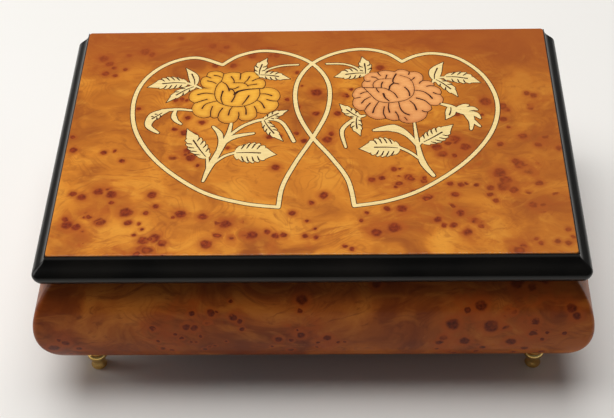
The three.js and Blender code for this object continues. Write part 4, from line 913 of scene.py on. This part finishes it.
LEFT_STROKES = [
    ([(-37.2, 105), (-37.8, 100.6), (-39.6, 97), (-40.1, 92), (-38.8, 87.4), (-35.6, 84.8),
     (-31.6, 83.7), (-27.2, 84.3), (-23.4, 87), (-21.9, 91), (-22.1, 95)], 0.42, 0.42),
    ([(-37.9, 100), (-36, 98.3), (-34.9, 96), (-34.3, 93.8)], 0.4, 0.8),
    ([(-34.5, 94.7), (-32.9, 94.4), (-31.9, 91.6), (-32.1, 89.4), (-33, 86.8)], 0.5, 0.75),
    ([(-32, 91.6), (-30.4, 93.5), (-26.4, 94.7), (-20.6, 95.2)], 1.5, 0.5),
    ([(-34.9, 95.6), (-32.6, 95), (-30.6, 96.4)], 0.5, 0.6),
    ([(-33, 99), (-29.4, 98.9), (-27.7, 98.1), (-26.8, 96.7)], 0.4, 0.5),
    ([(-32.5, 99), (-32.9, 101), (-34, 103.1)], 0.4, 0.7),
    ([(-30.2, 104.8), (-30.2, 103), (-30.3, 101.3)], 0.6, 0.6),
    ([(-28.4, 99), (-27.2, 100.8), (-26.5, 103)], 0.4, 0.7),
    ([(-22.6, 101.7), (-23.8, 101.2), (-25.2, 100.1)], 0.5, 0.6),
    ([(-26.8, 97.3), (-25.2, 97.6), (-23.4, 98)], 0.4, 0.7),
    ([(-44, 103.3), (-43.2, 102.9), (-42.3, 102.3)], 0.6, 0.5),
    ([(-38, 102.7), (-39.4, 103.6), (-41, 104)], 0.4, 0.7),
    ([(-39.9, 98.6), (-41.6, 99.8), (-43.5, 100.4)], 0.4, 0.7),
    ([(-40.2, 91.8), (-43.8, 92.5), (-46.9, 91.6)], 0.4, 0.9),
    ([(-47.6, 86.3), (-45.4, 87.4), (-43, 88.5)], 0.5, 0.7),
    ([(-38.8, 87.5), (-43.2, 85.6), (-44.6, 82.7)], 0.4, 0.7),
    ([(-40.9, 78.1), (-41, 81), (-40.5, 83.9)], 0.5, 0.6),
    ([(-37.9, 77.5), (-37.5, 80.2), (-36.4, 82.8)], 0.5, 0.7),
    ([(-32.4, 83.7), (-33.4, 81.5), (-33.8, 78.6)], 0.4, 0.8),
    ([(-27.8, 84.2), (-27, 82), (-26.8, 78.9)], 0.4, 0.8),
    ([(-29.8, 76.8), (-29.6, 78.4), (-29.8, 80.1)], 0.6, 0.5),
    ([(-22.6, 80.2), (-23, 82), (-23.7, 83.7)], 0.5, 0.6),
    ([(-22.9, 87.7), (-21, 86), (-19.6, 82.7)], 0.4, 0.8),
    ([(-14.8, 87), (-16.8, 87.2), (-18.8, 88)], 0.5, 0.7),
    ([(-21.8, 91.6), (-19.4, 91.6), (-17, 90.5)], 0.4, 0.8),
    ([(-36.3, 85.2), (-37.4, 89), (-36.9, 93.6)], 0.4, 0.9),
    ([(-28.7, 84.9), (-27.4, 87.6), (-26.2, 90.5)], 0.4, 0.9),
]
RIGHT_LOBES = [
    [(32.9, 105.1), (34.6, 106.5), (37.2, 106.2)], [(38.8, 104.8), (41.8, 104.9), (44, 102.6)],
    [(43.9, 99.1), (46.6, 98.9), (48.3, 97.4)], [(48.3, 95.7), (50.5, 94), (51.1, 91.6)],
    [(50.6, 90.2), (51.7, 87.4), (50.9, 84.6), (48.8, 83.5)], [(46.4, 83.8), (46.8, 81.2)],
    [(45.1, 79.3), (44.2, 76), (41.2, 73.4), (37.4, 72.6), (35, 73.6)],
    [(34.1, 74.8), (31.6, 74.3)], [(28.7, 75.8), (25.4, 75.1), (22.2, 76.9), (20.5, 80)],
    [(20.4, 81.1), (18, 81), (16, 83.6), (15.9, 86.8)],
    [(16.5, 88.3), (15.6, 90.6), (16.9, 94), (18.8, 95.2)], [(19.8, 95.1), (19.6, 97.6)],
    [(20.6, 99.6), (20.5, 102.6), (22.6, 104.7)], [(26, 105), (28.6, 106), (31.2, 105.6)],
]
RIGHT_STROKES = [
    ([(20, 95.1), (22.6, 91), (25.4, 86.8), (29, 85.4), (33, 85.7), (37, 87), (39.8, 90),
     (40.5, 94), (40, 98), (38.4, 101), (34.9, 102.9)], 0.45, 0.3),
    ([(19.8, 95.1), (24.8, 94.9), (28.4, 94.6), (30.5, 93.2)], 0.5, 0.5),
    ([(30.3, 93.2), (30.8, 96), (32.3, 97.8)], 0.7, 1.0),
    ([(33.4, 103.7), (32.2, 100.6), (32.2, 98.2), (34.4, 97.2)], 0.9, 0.6),
    ([(30.4, 93.4), (32.4, 91.2), (33.6, 88.5)], 0.4, 0.7),
    ([(30.2, 86.4), (28.7, 88.4), (28, 91)], 0.6, 1.1),
    ([(38.5, 89.6), (38.2, 92.4), (36.7, 95.1)], 0.8, 0.7),
    ([(25.2, 94.8), (25.5, 93.4), (26.2, 92.1)], 0.5, 0.7),
    ([(24, 95), (24.1, 98), (26.4, 100.3), (31.4, 100.7)], 0.45, 0.3),
    ([(27.2, 95), (27.3, 96.8), (27.8, 98.5)], 0.5, 0.8),
    ([(26, 100.5), (24.9, 101.6), (23.5, 102)], 0.4, 0.7),
    ([(26, 105), (26.3, 103.9), (27, 102.9)], 0.6, 0.5),
    ([(29, 100.6), (29.3, 101.8), (29.6, 103.1)], 0.4, 0.7),
    ([(20.6, 99.5), (21.6, 99.1), (22.7, 99.3)], 0.5, 0.6),
    ([(38.8, 104.9), (38.7, 104), (38.5, 103.3)], 0.7, 0.6),
    ([(39.1, 99.5), (40, 100.2), (40.8, 101.3)], 0.4, 0.7),
    ([(44, 99.2), (43.2, 98.5), (42.7, 97.5)], 0.6, 0.6),
    ([(48.4, 95.7), (47, 95.9), (45.6, 95.5)], 0.6, 0.6),
    ([(40.4, 93.2), (44, 92.2), (46.2, 90), (47.4, 87.9)], 0.4, 0.9),
    ([(50.7, 90.3), (49.4, 90.6), (48.1, 91.4)], 0.5, 0.7),
    ([(46.4, 83.9), (44.2, 86.6), (41.2, 88.1)], 0.5, 0.8),
    ([(38.4, 86.5), (40.1, 84), (40.9, 80.7)], 0.4, 0.9),
    ([(45.1, 79.4), (44.2, 79.4), (43.2, 80.1)], 0.6, 0.6),
    ([(34, 85.5), (34.6, 81.6), (36, 78.9), (37.9, 77.6)], 0.5, 0.9),
    ([(37, 74.3), (36.6, 75.2), (36.1, 76.1)], 0.5, 0.5),
    ([(33.8, 74.8), (33.5, 77.2), (32.6, 79.5)], 0.5, 0.7),
    ([(30.1, 85.3), (29.8, 82.4), (30.2, 79.3)], 0.4, 0.8),
    ([(28.6, 75.9), (27.8, 79), (28.2, 82.8)], 0.6, 0.6),
    ([(26, 85.9), (24.4, 82.4), (23.6, 79.2)], 0.4, 0.9),
    ([(20.5, 81.1), (21.4, 83.2), (22.6, 85.1)], 0.5, 0.7),
    ([(22.8, 89.2), (20.6, 87.5), (19.2, 85.2)], 0.4, 0.8),
    ([(21.8, 92.4), (20.2, 92.1), (18.8, 91.1)], 0.4, 0.7),
    ([(16.5, 88.3), (17.4, 88.5), (18.6, 88.9)], 0.5, 0.6),
]
FLOWERS = {
    "left": ("gold_inlay", LEFT_LOBES, LEFT_STROKES),
    "right": ("salmon_inlay", RIGHT_LOBES, RIGHT_STROKES),
}


def flower_outline(lobes):
    outline = []
    for i, lobe in enumerate(lobes):
        outline += spline([*lobe, lobes[(i + 1) % len(lobes)][0]], 5)[:-1]
    return outline


def scorching(outline, strokes):
    """How dark the sand has burnt a flower at a point: along its cuts and towards its front."""
    dark_points = [point for line, _, _ in strokes for point in spline(line, 3)] + outline

    def scorch(x, y):
        near = min((x - a) ** 2 + (y - b) ** 2 for a, b in dark_points)
        low = min(max((86 - y) / 12, 0.0), 1.0)
        return 0.5 * math.exp(-near / 1.2) + 0.3 * low

    return scorch


def build_flowers():
    """Each flower is one sand-shaded plate, cut by dark lines between its petals."""
    thinner = 0.85
    grain = 0.55
    for side, (material, lobes, strokes) in FLOWERS.items():
        outline = flower_outline(lobes)
        rim = [disc(x, y, EDGE_LINE) for x, y in outline]
        flat(f"flower_{side}_line", [outline, *rim], INLAY_LOW, LINE_TOP, "cut_line")
        flat(f"flower_{side}_petals", [outline], INLAY_LOW, FILL_TOP, material,
             f"inlay_flower_{side}", grain, scorching(outline, strokes))
        cuts = [ribbon(line, [thinner * start, thinner * end]) for line, start, end in strokes]
        flat(f"flower_{side}_cuts", cuts, SHEET_TOP, STROKE_TOP, "cut_line")


# Stems are (points, widths); leaves are (start, end, width, teeth, bend).
SPRIGS = {
    "left_outer": (
        [([(-45.9, 95.6), (-49, 97.8), (-53.5, 99.8)], [0.8, 1.4])],
        [((-48.6, 97.4), (-53, 109), 4, 0, -1.2), ((-51.5, 99), (-67.8, 96.6), 8, 5, -1.5),
         ((-48.2, 97.2), (-59.2, 86.8), 4.2, 3, -1)],
    ),
    "left_inner": (
        [([(-22.8, 103.8), (-19, 107.6), (-13.5, 110), (-6.8, 110.6)], [0.9, 0.9])],
        [((-22.6, 103.4), (-19.6, 115.2), 5, 3, 1), ((-22.8, 104.2), (-9.8, 101.2), 5.4, 4, 0.6)],
    ),
    "left_side": (
        [([(-48.6, 81.6), (-54, 82.4), (-60.5, 81.6)], [0.9, 1.7]),
         ([(-55, 82.2), (-55.6, 78.8), (-54.6, 75.6), (-52.3, 73.2)], [1, 2.2, 0.8]),
         ([(-58.5, 81.8), (-63.6, 78.4), (-65.2, 72.4), (-61, 68)], [2, 4.2, 2.4, 1])],
        [((-60, 80.6), (-66.5, 74.2), 3.2, 3, 0)],
    ),
    "left_lower": (
        [([(-41.3, 39.4), (-39.6, 46.5), (-36.2, 57), (-33.4, 66), (-32.4, 73.4)], [0.9, 2.4, 2, 1]),
         ([(-33.8, 64.5), (-27.5, 71.8), (-19.5, 75.6), (-12.5, 73.8), (-7.4, 62.2)],
          [1.2, 1.4, 1.4, 1.4]),
         ([(-36.2, 58.8), (-31.5, 64.8), (-23.3, 67.2)], [0.9, 2.2, 1]),
         ([(-38.8, 48.5), (-34, 53.8), (-28.5, 56.2)], [1, 1.2]),
         ([(-40, 45.6), (-40.4, 51.5), (-41.2, 57)], [1, 1.2]),
         ([(-37.6, 53.5), (-36, 61), (-36.6, 67), (-39.4, 71.4)], [0.8, 1.6, 2.2, 1])],
        [((-19.6, 75), (-10.2, 81.2), 4.2, 3, 0.5), ((-19.8, 75.8), (-11.6, 62.4), 4.6, 4, -0.8),
         ((-30.4, 55.6), (-14, 54.4), 12, 5, 0.6), ((-40.6, 52.6), (-49.6, 70.2), 7.6, 5, 0.6)],
    ),
    "right_inner": (
        [([(20.4, 104.2), (16.6, 108.6), (11.5, 110.8), (5, 111)], [0.9, 0.9])],
        [((20.8, 103.4), (19.6, 115.4), 5.2, 3, -0.6), ((21, 104.6), (8.2, 102.2), 7, 4, -0.8)],
    ),
    "right_outer": (
        [([(48.2, 98.2), (49.4, 100.8), (54.5, 101.4)], [0.8, 1.3])],
        [((48.8, 99.6), (53, 111.4), 5, 0, 1.2), ((52.8, 101.6), (67.4, 97.6), 7.4, 4, 1.4),
         ((48.8, 100.4), (57.8, 88.8), 4.6, 3, 1)],
    ),
    "right_side": (
        [([(50.6, 84.4), (54.5, 82.6), (57.5, 79.8), (61.5, 77.5)], [1, 2.4, 1.4]),
         ([(56.5, 80.6), (58.4, 81.9), (60.2, 83), (61.6, 83.4)], [1.4, 2.6, 2.2, 0.7]),
         ([(58.6, 79.4), (61, 80.8), (63.2, 81.2), (64.9, 80.4)], [1.6, 2.6, 2.2, 0.7]),
         ([(60.2, 78), (62.4, 78.2), (64.4, 77.4), (65.8, 75.2)], [1.6, 2.8, 2.4, 0.7]),
         ([(60.6, 78.6), (61.8, 76), (62.3, 72.8), (61.8, 68.4)], [2.8, 3.2, 2.0, 0.9]),
         ([(61.8, 74.6), (63.4, 72.8), (65.4, 70.2)], [2.0, 1.8, 0.8])],
        [((54.6, 82.6), (52.2, 74.6), 4.0, 0, 0.8)],
    ),
    "right_branch": (
        [([(20.2, 77.4), (16.4, 75.4), (11.4, 68.6), (12.8, 58.4)], [1, 1.6, 1.6, 0.9])],
        [((18.6, 76), (10.4, 84.8), 4.8, 3, 0.5), ((17.4, 77.2), (18.6, 65.2), 4.4, 3, -1)],
    ),
    "right_lower": (
        [([(46, 41.6), (42.3, 49), (40.7, 59), (39.8, 72.6)], [1.4, 2.4, 1.6, 0.8]),
         ([(41, 58), (37, 65.4), (31.4, 69.6), (23.8, 68.4)], [1, 2.2, 4.2, 1]),
         ([(41.8, 50.4), (37.5, 55.2), (32.4, 58.8)], [1, 1.3]),
         ([(40.8, 59), (42.4, 61.4), (44.6, 63)], [1, 1.2])],
        [((33.8, 57.6), (18, 57.4), 11.6, 5, -0.8), ((42.2, 60.6), (54.8, 71.4), 8.4, 5, -0.6)],
    ),
}


def build_sprigs():
    """Leaf sprays: a dark line round each piece, pale stems and leaves, and cuts in the leaves."""
    for name, (stems, leaves) in SPRIGS.items():
        fills, lines, cuts = [], [], []
        for points, widths in stems:
            fills.append(ribbon(points, widths))
            lines.append(ribbon(points, widths, EDGE_LINE))
        for start, end, width, teeth, bend in leaves:
            outline, notches, rib = leaf(start, end, width, teeth, bend)
            fills.append(outline)
            lines += [disc(x, y, EDGE_LINE, 8) for x, y in outline]
            lines.append(outline)
            cuts += [ribbon(list(notch), [0.7, 0.4], smooth=False) for notch in notches]
            cuts.append(ribbon(rib, [0.35, 0.7]))
        flat(f"sprig_{name}_line", lines, INLAY_LOW, LINE_TOP, "cut_line")
        flat(f"sprig_{name}_leaves", fills, INLAY_LOW, FILL_TOP, "cream_inlay",
             f"inlay_sprig_{name}")
        flat(f"sprig_{name}_cuts", cuts, SHEET_TOP, STROKE_TOP, "cut_line")


# ---------- feet and hinges ----------


def build_feet():
    """Turned brass feet: a small toe, a bead, a waist and a flaring collar."""
    height = CASE_FOOT - 0.1
    turnings = [
        (0, 0), (2.4, 0), (2.9, 0.25), (3.1, 0.8), (3.0, 1.5), (2.7, 2.3), (2.45, 3.2), (2.45, 4.2),
        (2.6, 5.0), (2.7, 5.2), (3.3, 5.4), (3.8, 6.0), (3.95, 6.8), (3.8, 7.6), (3.3, 8.2),
        (3.0, 8.4), (2.95, 8.9), (3.05, 9.8), (3.4, 10.9), (3.9, 12.0), (4.5, 13.0), (4.9, 13.6),
        (4.9, 13.9), (5.1, 14.0), (5.2, 14.3), (5.2, height - 0.3), (5.05, height), (0, height),
    ]
    for row in ("front", "rear"):
        for side in ("left", "right"):
            node = f"foot_{row}_{side}"
            low, high = edges(node)
            bm = bmesh.new()
            turned(bm, turnings, ((low.x + high.x) / 2, (low.y + high.y) / 2, 0))
            to_object(f"brass_{node}", bm, "brass", "case", replaces=[node])


def knuckle(bm, start, end, y, z):
    """A short barrel along x with eased ends."""
    ease = 0.15
    turned(bm, [
        (0, start), (KNUCKLE_RADIUS - ease, start), (KNUCKLE_RADIUS, start + ease),
        (KNUCKLE_RADIUS, end - ease), (KNUCKLE_RADIUS - ease, end), (0, end),
    ], (0, y, z), "x", 32)


def build_hinges():
    """Butt hinges: a leaf on the lid with the middle knuckle, one on the case with the outer two."""
    knuckles = {"lid": (1,), "case": (0, 2)}
    gap = 0.3
    for side in ("left", "right"):
        pin_low, pin_high = edges(f"hinge_pin_{side}")
        y, z = (pin_low.y + pin_high.y) / 2, (pin_low.z + pin_high.z) / 2
        start, width = pin_low.x, pin_high.x - pin_low.x
        for part in ("lid", "case"):
            node = f"hinge_leaf_{part}_{side}"
            low, high = edges(node)
            under = LID_UNDER if part == "lid" else RIM - LEAF_THICKNESS
            over = under + LEAF_THICKNESS
            bm = bmesh.new()
            rounded_box(bm, (low.x, low.y, under), (high.x, BACK - 0.2, over), 0.12, 2)
            for i in knuckles[part]:
                a = start + i * width / 3 + (gap / 2 if i else 0)
                b = start + (i + 1) * width / 3 - (gap / 2 if i < 2 else 0)
                knuckle(bm, a, b, y, z)
                rounded_box(bm, (a, BACK - 0.5, under), (b, y, over), 0.1, 1)
            to_object(f"brass_{node}", bm, "brass", part, replaces=[node])


# ---------- velvet inside ----------


def cushion(bm, low, high, crown, radius, cells=(24, 12)):
    """A pad with a crowned top, rounded edges and a flat base."""
    nx, ny = cells
    top, base = {}, {}
    for i in range(nx + 1):
        for j in range(ny + 1):
            u, v = 2 * i / nx - 1, 2 * j / ny - 1
            # Points crowd towards the edges, where the curve is tight.
            u, v = math.sin(u * math.pi / 2), math.sin(v * math.pi / 2)
            x = (low[0] + high[0]) / 2 + u * (high[0] - low[0]) / 2
            y = (low[1] + high[1]) / 2 + v * (high[1] - low[1]) / 2
            edge = min(x - low[0], high[0] - x, y - low[1], high[1] - y)
            round_off = 0.0
            if edge < radius:
                round_off = radius - math.sqrt(max(radius ** 2 - (radius - edge) ** 2, 0.0))
            rise = crown * (1 - u ** 4) * (1 - v ** 4)
            top[i, j] = bm.verts.new((x, y, high[2] - crown - round_off + rise))
            base[i, j] = bm.verts.new((x, y, low[2]))
    for i in range(nx):
        for j in range(ny):
            bm.faces.new((top[i, j], top[i + 1, j], top[i + 1, j + 1], top[i, j + 1]))
            bm.faces.new((base[i, j], base[i, j + 1], base[i + 1, j + 1], base[i + 1, j]))
    rim = [(i, 0) for i in range(nx)] + [(nx, j) for j in range(ny)]
    rim += [(i, ny) for i in range(nx, 0, -1)] + [(0, j) for j in range(ny, 0, -1)]
    for a, b in zip(rim, rim[1:] + rim[:1]):
        bm.faces.new((base[a], base[b], top[b], top[a]))


def build_wall_velvet():
    low, high = edges("wall_lining")
    ease = 0.5
    bm = bmesh.new()
    rounded_box(bm, low, (low.x + LINING, high.y, high.z), ease)
    rounded_box(bm, (high.x - LINING, low.y, low.z), high, ease)
    # The front and back linings butt against the two side ones.
    left, right = low.x + LINING + 0.02, high.x - LINING - 0.02
    rounded_box(bm, (left, low.y, low.z), (right, low.y + LINING, high.z), ease)
    rounded_box(bm, (left, high.y - LINING, low.z), (right, high.y, high.z), ease)
    to_object("velvet_walls", bm, "velvet", "case", replaces=["wall_lining"])


def build_floor_velvet():
    """A padded floor right of the long divider, and one in the small front compartment."""
    long_low, long_high = edges("divider_long")
    cross_low = edges("divider_cross")[0]
    gap = 0.1
    top = FLOOR_HIGH.z + 0.25
    pads = {
        "velvet_floor": (
            (long_high.x + gap, FLOOR_LOW.y), (FLOOR_HIGH.x, FLOOR_HIGH.y), ["floor_lining"]),
        "velvet_small_floor": (
            (FLOOR_LOW.x, FLOOR_LOW.y), (long_low.x - gap, cross_low.y - gap), []),
    }
    for name, (low, high, replaces) in pads.items():
        bm = bmesh.new()
        cushion(bm, (*low, FLOOR_LOW.z), (*high, top), 0.5, 0.6)
        pad = to_object(name, bm, "velvet", "case", replaces=replaces)


def build_divider_velvet():
    for node in ("divider_long", "divider_cross"):
        bm = bmesh.new()
        rounded_box(bm, *edges(node), 1.2, 5)
        to_object(f"velvet_{node}", bm, "velvet", "case", replaces=[node])


def roll_section(x, low, high, pinch, wave):
    """One upright slice of a ring roll: flat below, round on top."""
    half = (high.y - low.y) / 2
    middle = (low.y + high.y) / 2
    scale = 0.72 + 0.28 * pinch
    centre = high.z - half - (1 - scale) * 6
    reach = half * scale - 0.1
    rise = half - 0.25 + wave
    foot, hip, hip_height = half * 0.96 * scale, half * 0.99 * scale, low.z + 3
    ring = [(x, middle + foot, low.z), (x, middle + hip, hip_height)]
    for j in range(17):
        angle = math.pi * j / 16
        ring.append((x, middle + reach * math.cos(angle), centre + rise * math.sin(angle)))
    return ring + [(x, middle - hip, hip_height), (x, middle - foot, low.z)]


def build_ring_rolls():
    """Foam rolls covered in velvet: round on top, pinched at the ends, softly uneven."""
    random.seed(7)
    steps = 40
    pinch_length = 4.0
    for k in range(4):
        node = f"ring_roll_{k + 1}"
        low, high = edges(node)
        phase = random.uniform(0, 6.28)
        sections = []
        for i in range(steps + 1):
            x = low.x + (high.x - low.x) * (0.5 - 0.5 * math.cos(math.pi * i / steps))
            end = min(x - low.x, high.x - x)
            pinch = math.sqrt(max(1 - (1 - min(end / pinch_length, 1.0)) ** 2, 0.0))
            wave = 0.12 * math.sin(0.35 * x + phase) + 0.08 * math.sin(0.9 * x + 2 * phase)
            sections.append(roll_section(x, low, high, pinch, wave))
        bm = bmesh.new()
        loft(bm, sections)
        roll = to_object(f"velvet_{node}", bm, "velvet", "case", replaces=[node])


def build_lid_lining():
    low, high = edges("lid_lining")
    bm = bmesh.new()
    # The pad is made crown up and then turned over.
    cushion(bm, (low.x, low.y, -high.z), (high.x, high.y, -low.z), 0.7, 0.5, (40, 28))
    bmesh.ops.scale(bm, vec=(1, 1, -1), verts=bm.verts)
    pad = to_object("velvet_lid_pad", bm, "velvet", "lid", replaces=["lid_lining"])


# ---------- CAD nodes that keep their shape ----------


def finish_nodes():
    """Gives each CAD node the material of its slot; those with no stand-in show as they are."""
    slots = {item["node"]: item["material_slot"] for item in frame["record"]["subparts"]}
    for name, node in frame["nodes"].items():
        material = MATERIALS[slots[name]]
        if not node.data.materials:
            node.data.materials.append(material)
        for i in range(len(node.data.materials)):
            node.data.materials[i] = material


# ---------- stage ----------

# The camera stands in front of the box, to the right of its middle, and looks down at the lid.
CAMERA_AT = (15.5, -444.9, 450.0)
CAMERA_PITCH = math.radians(43.24)
CAMERA_YAW = math.radians(2.42)
CAMERA_ROLL = math.radians(-2.07)
LENS = 87.95
SENSOR = 36.0

ROOM_COLOUR = (0.97, 0.98, 1.0, 1)
ROOM_FRONT = 0.10  # the room's brightness behind the viewer, and behind the box
ROOM_BACK = 0.11
FLOOR_REACH = 4000  # from the box to the floor's edge


def build_camera():
    data = bpy.data.cameras.new("camera")
    data.lens = LENS
    data.sensor_width = SENSOR
    data.clip_start = 0.01
    camera = bpy.data.objects.new("camera", data)
    bpy.context.collection.objects.link(camera)
    level = Matrix(((1, 0, 0), (0, 0, -1), (0, 1, 0)))
    turn = (Matrix.Rotation(CAMERA_ROLL, 3, "Z") @ Matrix.Rotation(CAMERA_PITCH, 3, "X")
            @ Matrix.Rotation(CAMERA_YAW, 3, "Y") @ level)
    right, down, forward = turn
    pose = Matrix((right, -down, -forward)).transposed().to_4x4()
    pose.translation = Vector(CAMERA_AT) * MM
    camera.matrix_world = pose
    bpy.context.scene.camera = camera


def area_light(name, at, size, power, colour):
    """A round soft light that faces the box."""
    box_middle = Vector((0, 0, 0.04))
    data = bpy.data.lights.new(name, "AREA")
    data.shape = "DISK"
    data.size = size
    data.energy = power
    data.color = colour
    lamp = bpy.data.objects.new(name, data)
    bpy.context.collection.objects.link(lamp)
    lamp.location = at
    lamp.rotation_euler = (box_middle - Vector(at)).to_track_quat("-Z", "Y").to_euler()


def build_world():
    """A dim room, a little darker where the viewer stands."""
    world = bpy.data.worlds.new("studio")
    world.use_nodes = True
    tree = world.node_tree
    sky = tree.nodes["Background"]
    direction = tree.nodes.new("ShaderNodeTexCoord")
    parts = tree.nodes.new("ShaderNodeSeparateXYZ")
    ramp = tree.nodes.new("ShaderNodeMapRange")
    tree.links.new(direction.outputs["Generated"], parts.inputs[0])
    tree.links.new(parts.outputs[1], ramp.inputs["Value"])
    tree.links.new(ramp.outputs["Result"], sky.inputs["Strength"])
    ramp.inputs["From Min"].default_value = -0.6
    ramp.inputs["From Max"].default_value = 0.5
    ramp.inputs["To Min"].default_value = ROOM_FRONT
    ramp.inputs["To Max"].default_value = ROOM_BACK
    sky.inputs["Color"].default_value = ROOM_COLOUR
    bpy.context.scene.world = world


def build_stage():
    bm = bmesh.new()
    bmesh.ops.create_grid(bm, x_segments=1, y_segments=1, size=FLOOR_REACH)
    floor = to_object("floor", bm, "floor_paper", None, smooth=False)
    build_world()
    area_light("overhead", (-0.15, 0.2, 1.3), 1.35, 20.0, (1.0, 0.985, 0.955))
    area_light("left_box", (-1.2, 0.1, 0.45), 0.7, 3.0, (1.0, 0.98, 0.95))
    bpy.context.scene.view_settings.view_transform = "Standard"


build_camera()
finish_nodes()
build_case_sides()
build_back_panel()
build_lipping()
build_lid_sheet()
build_hearts()
build_flowers()
build_sprigs()
build_feet()
build_hinges()
build_wall_velvet()
build_floor_velvet()
build_divider_velvet()
build_ring_rolls()
build_lid_lining()
build_stage()
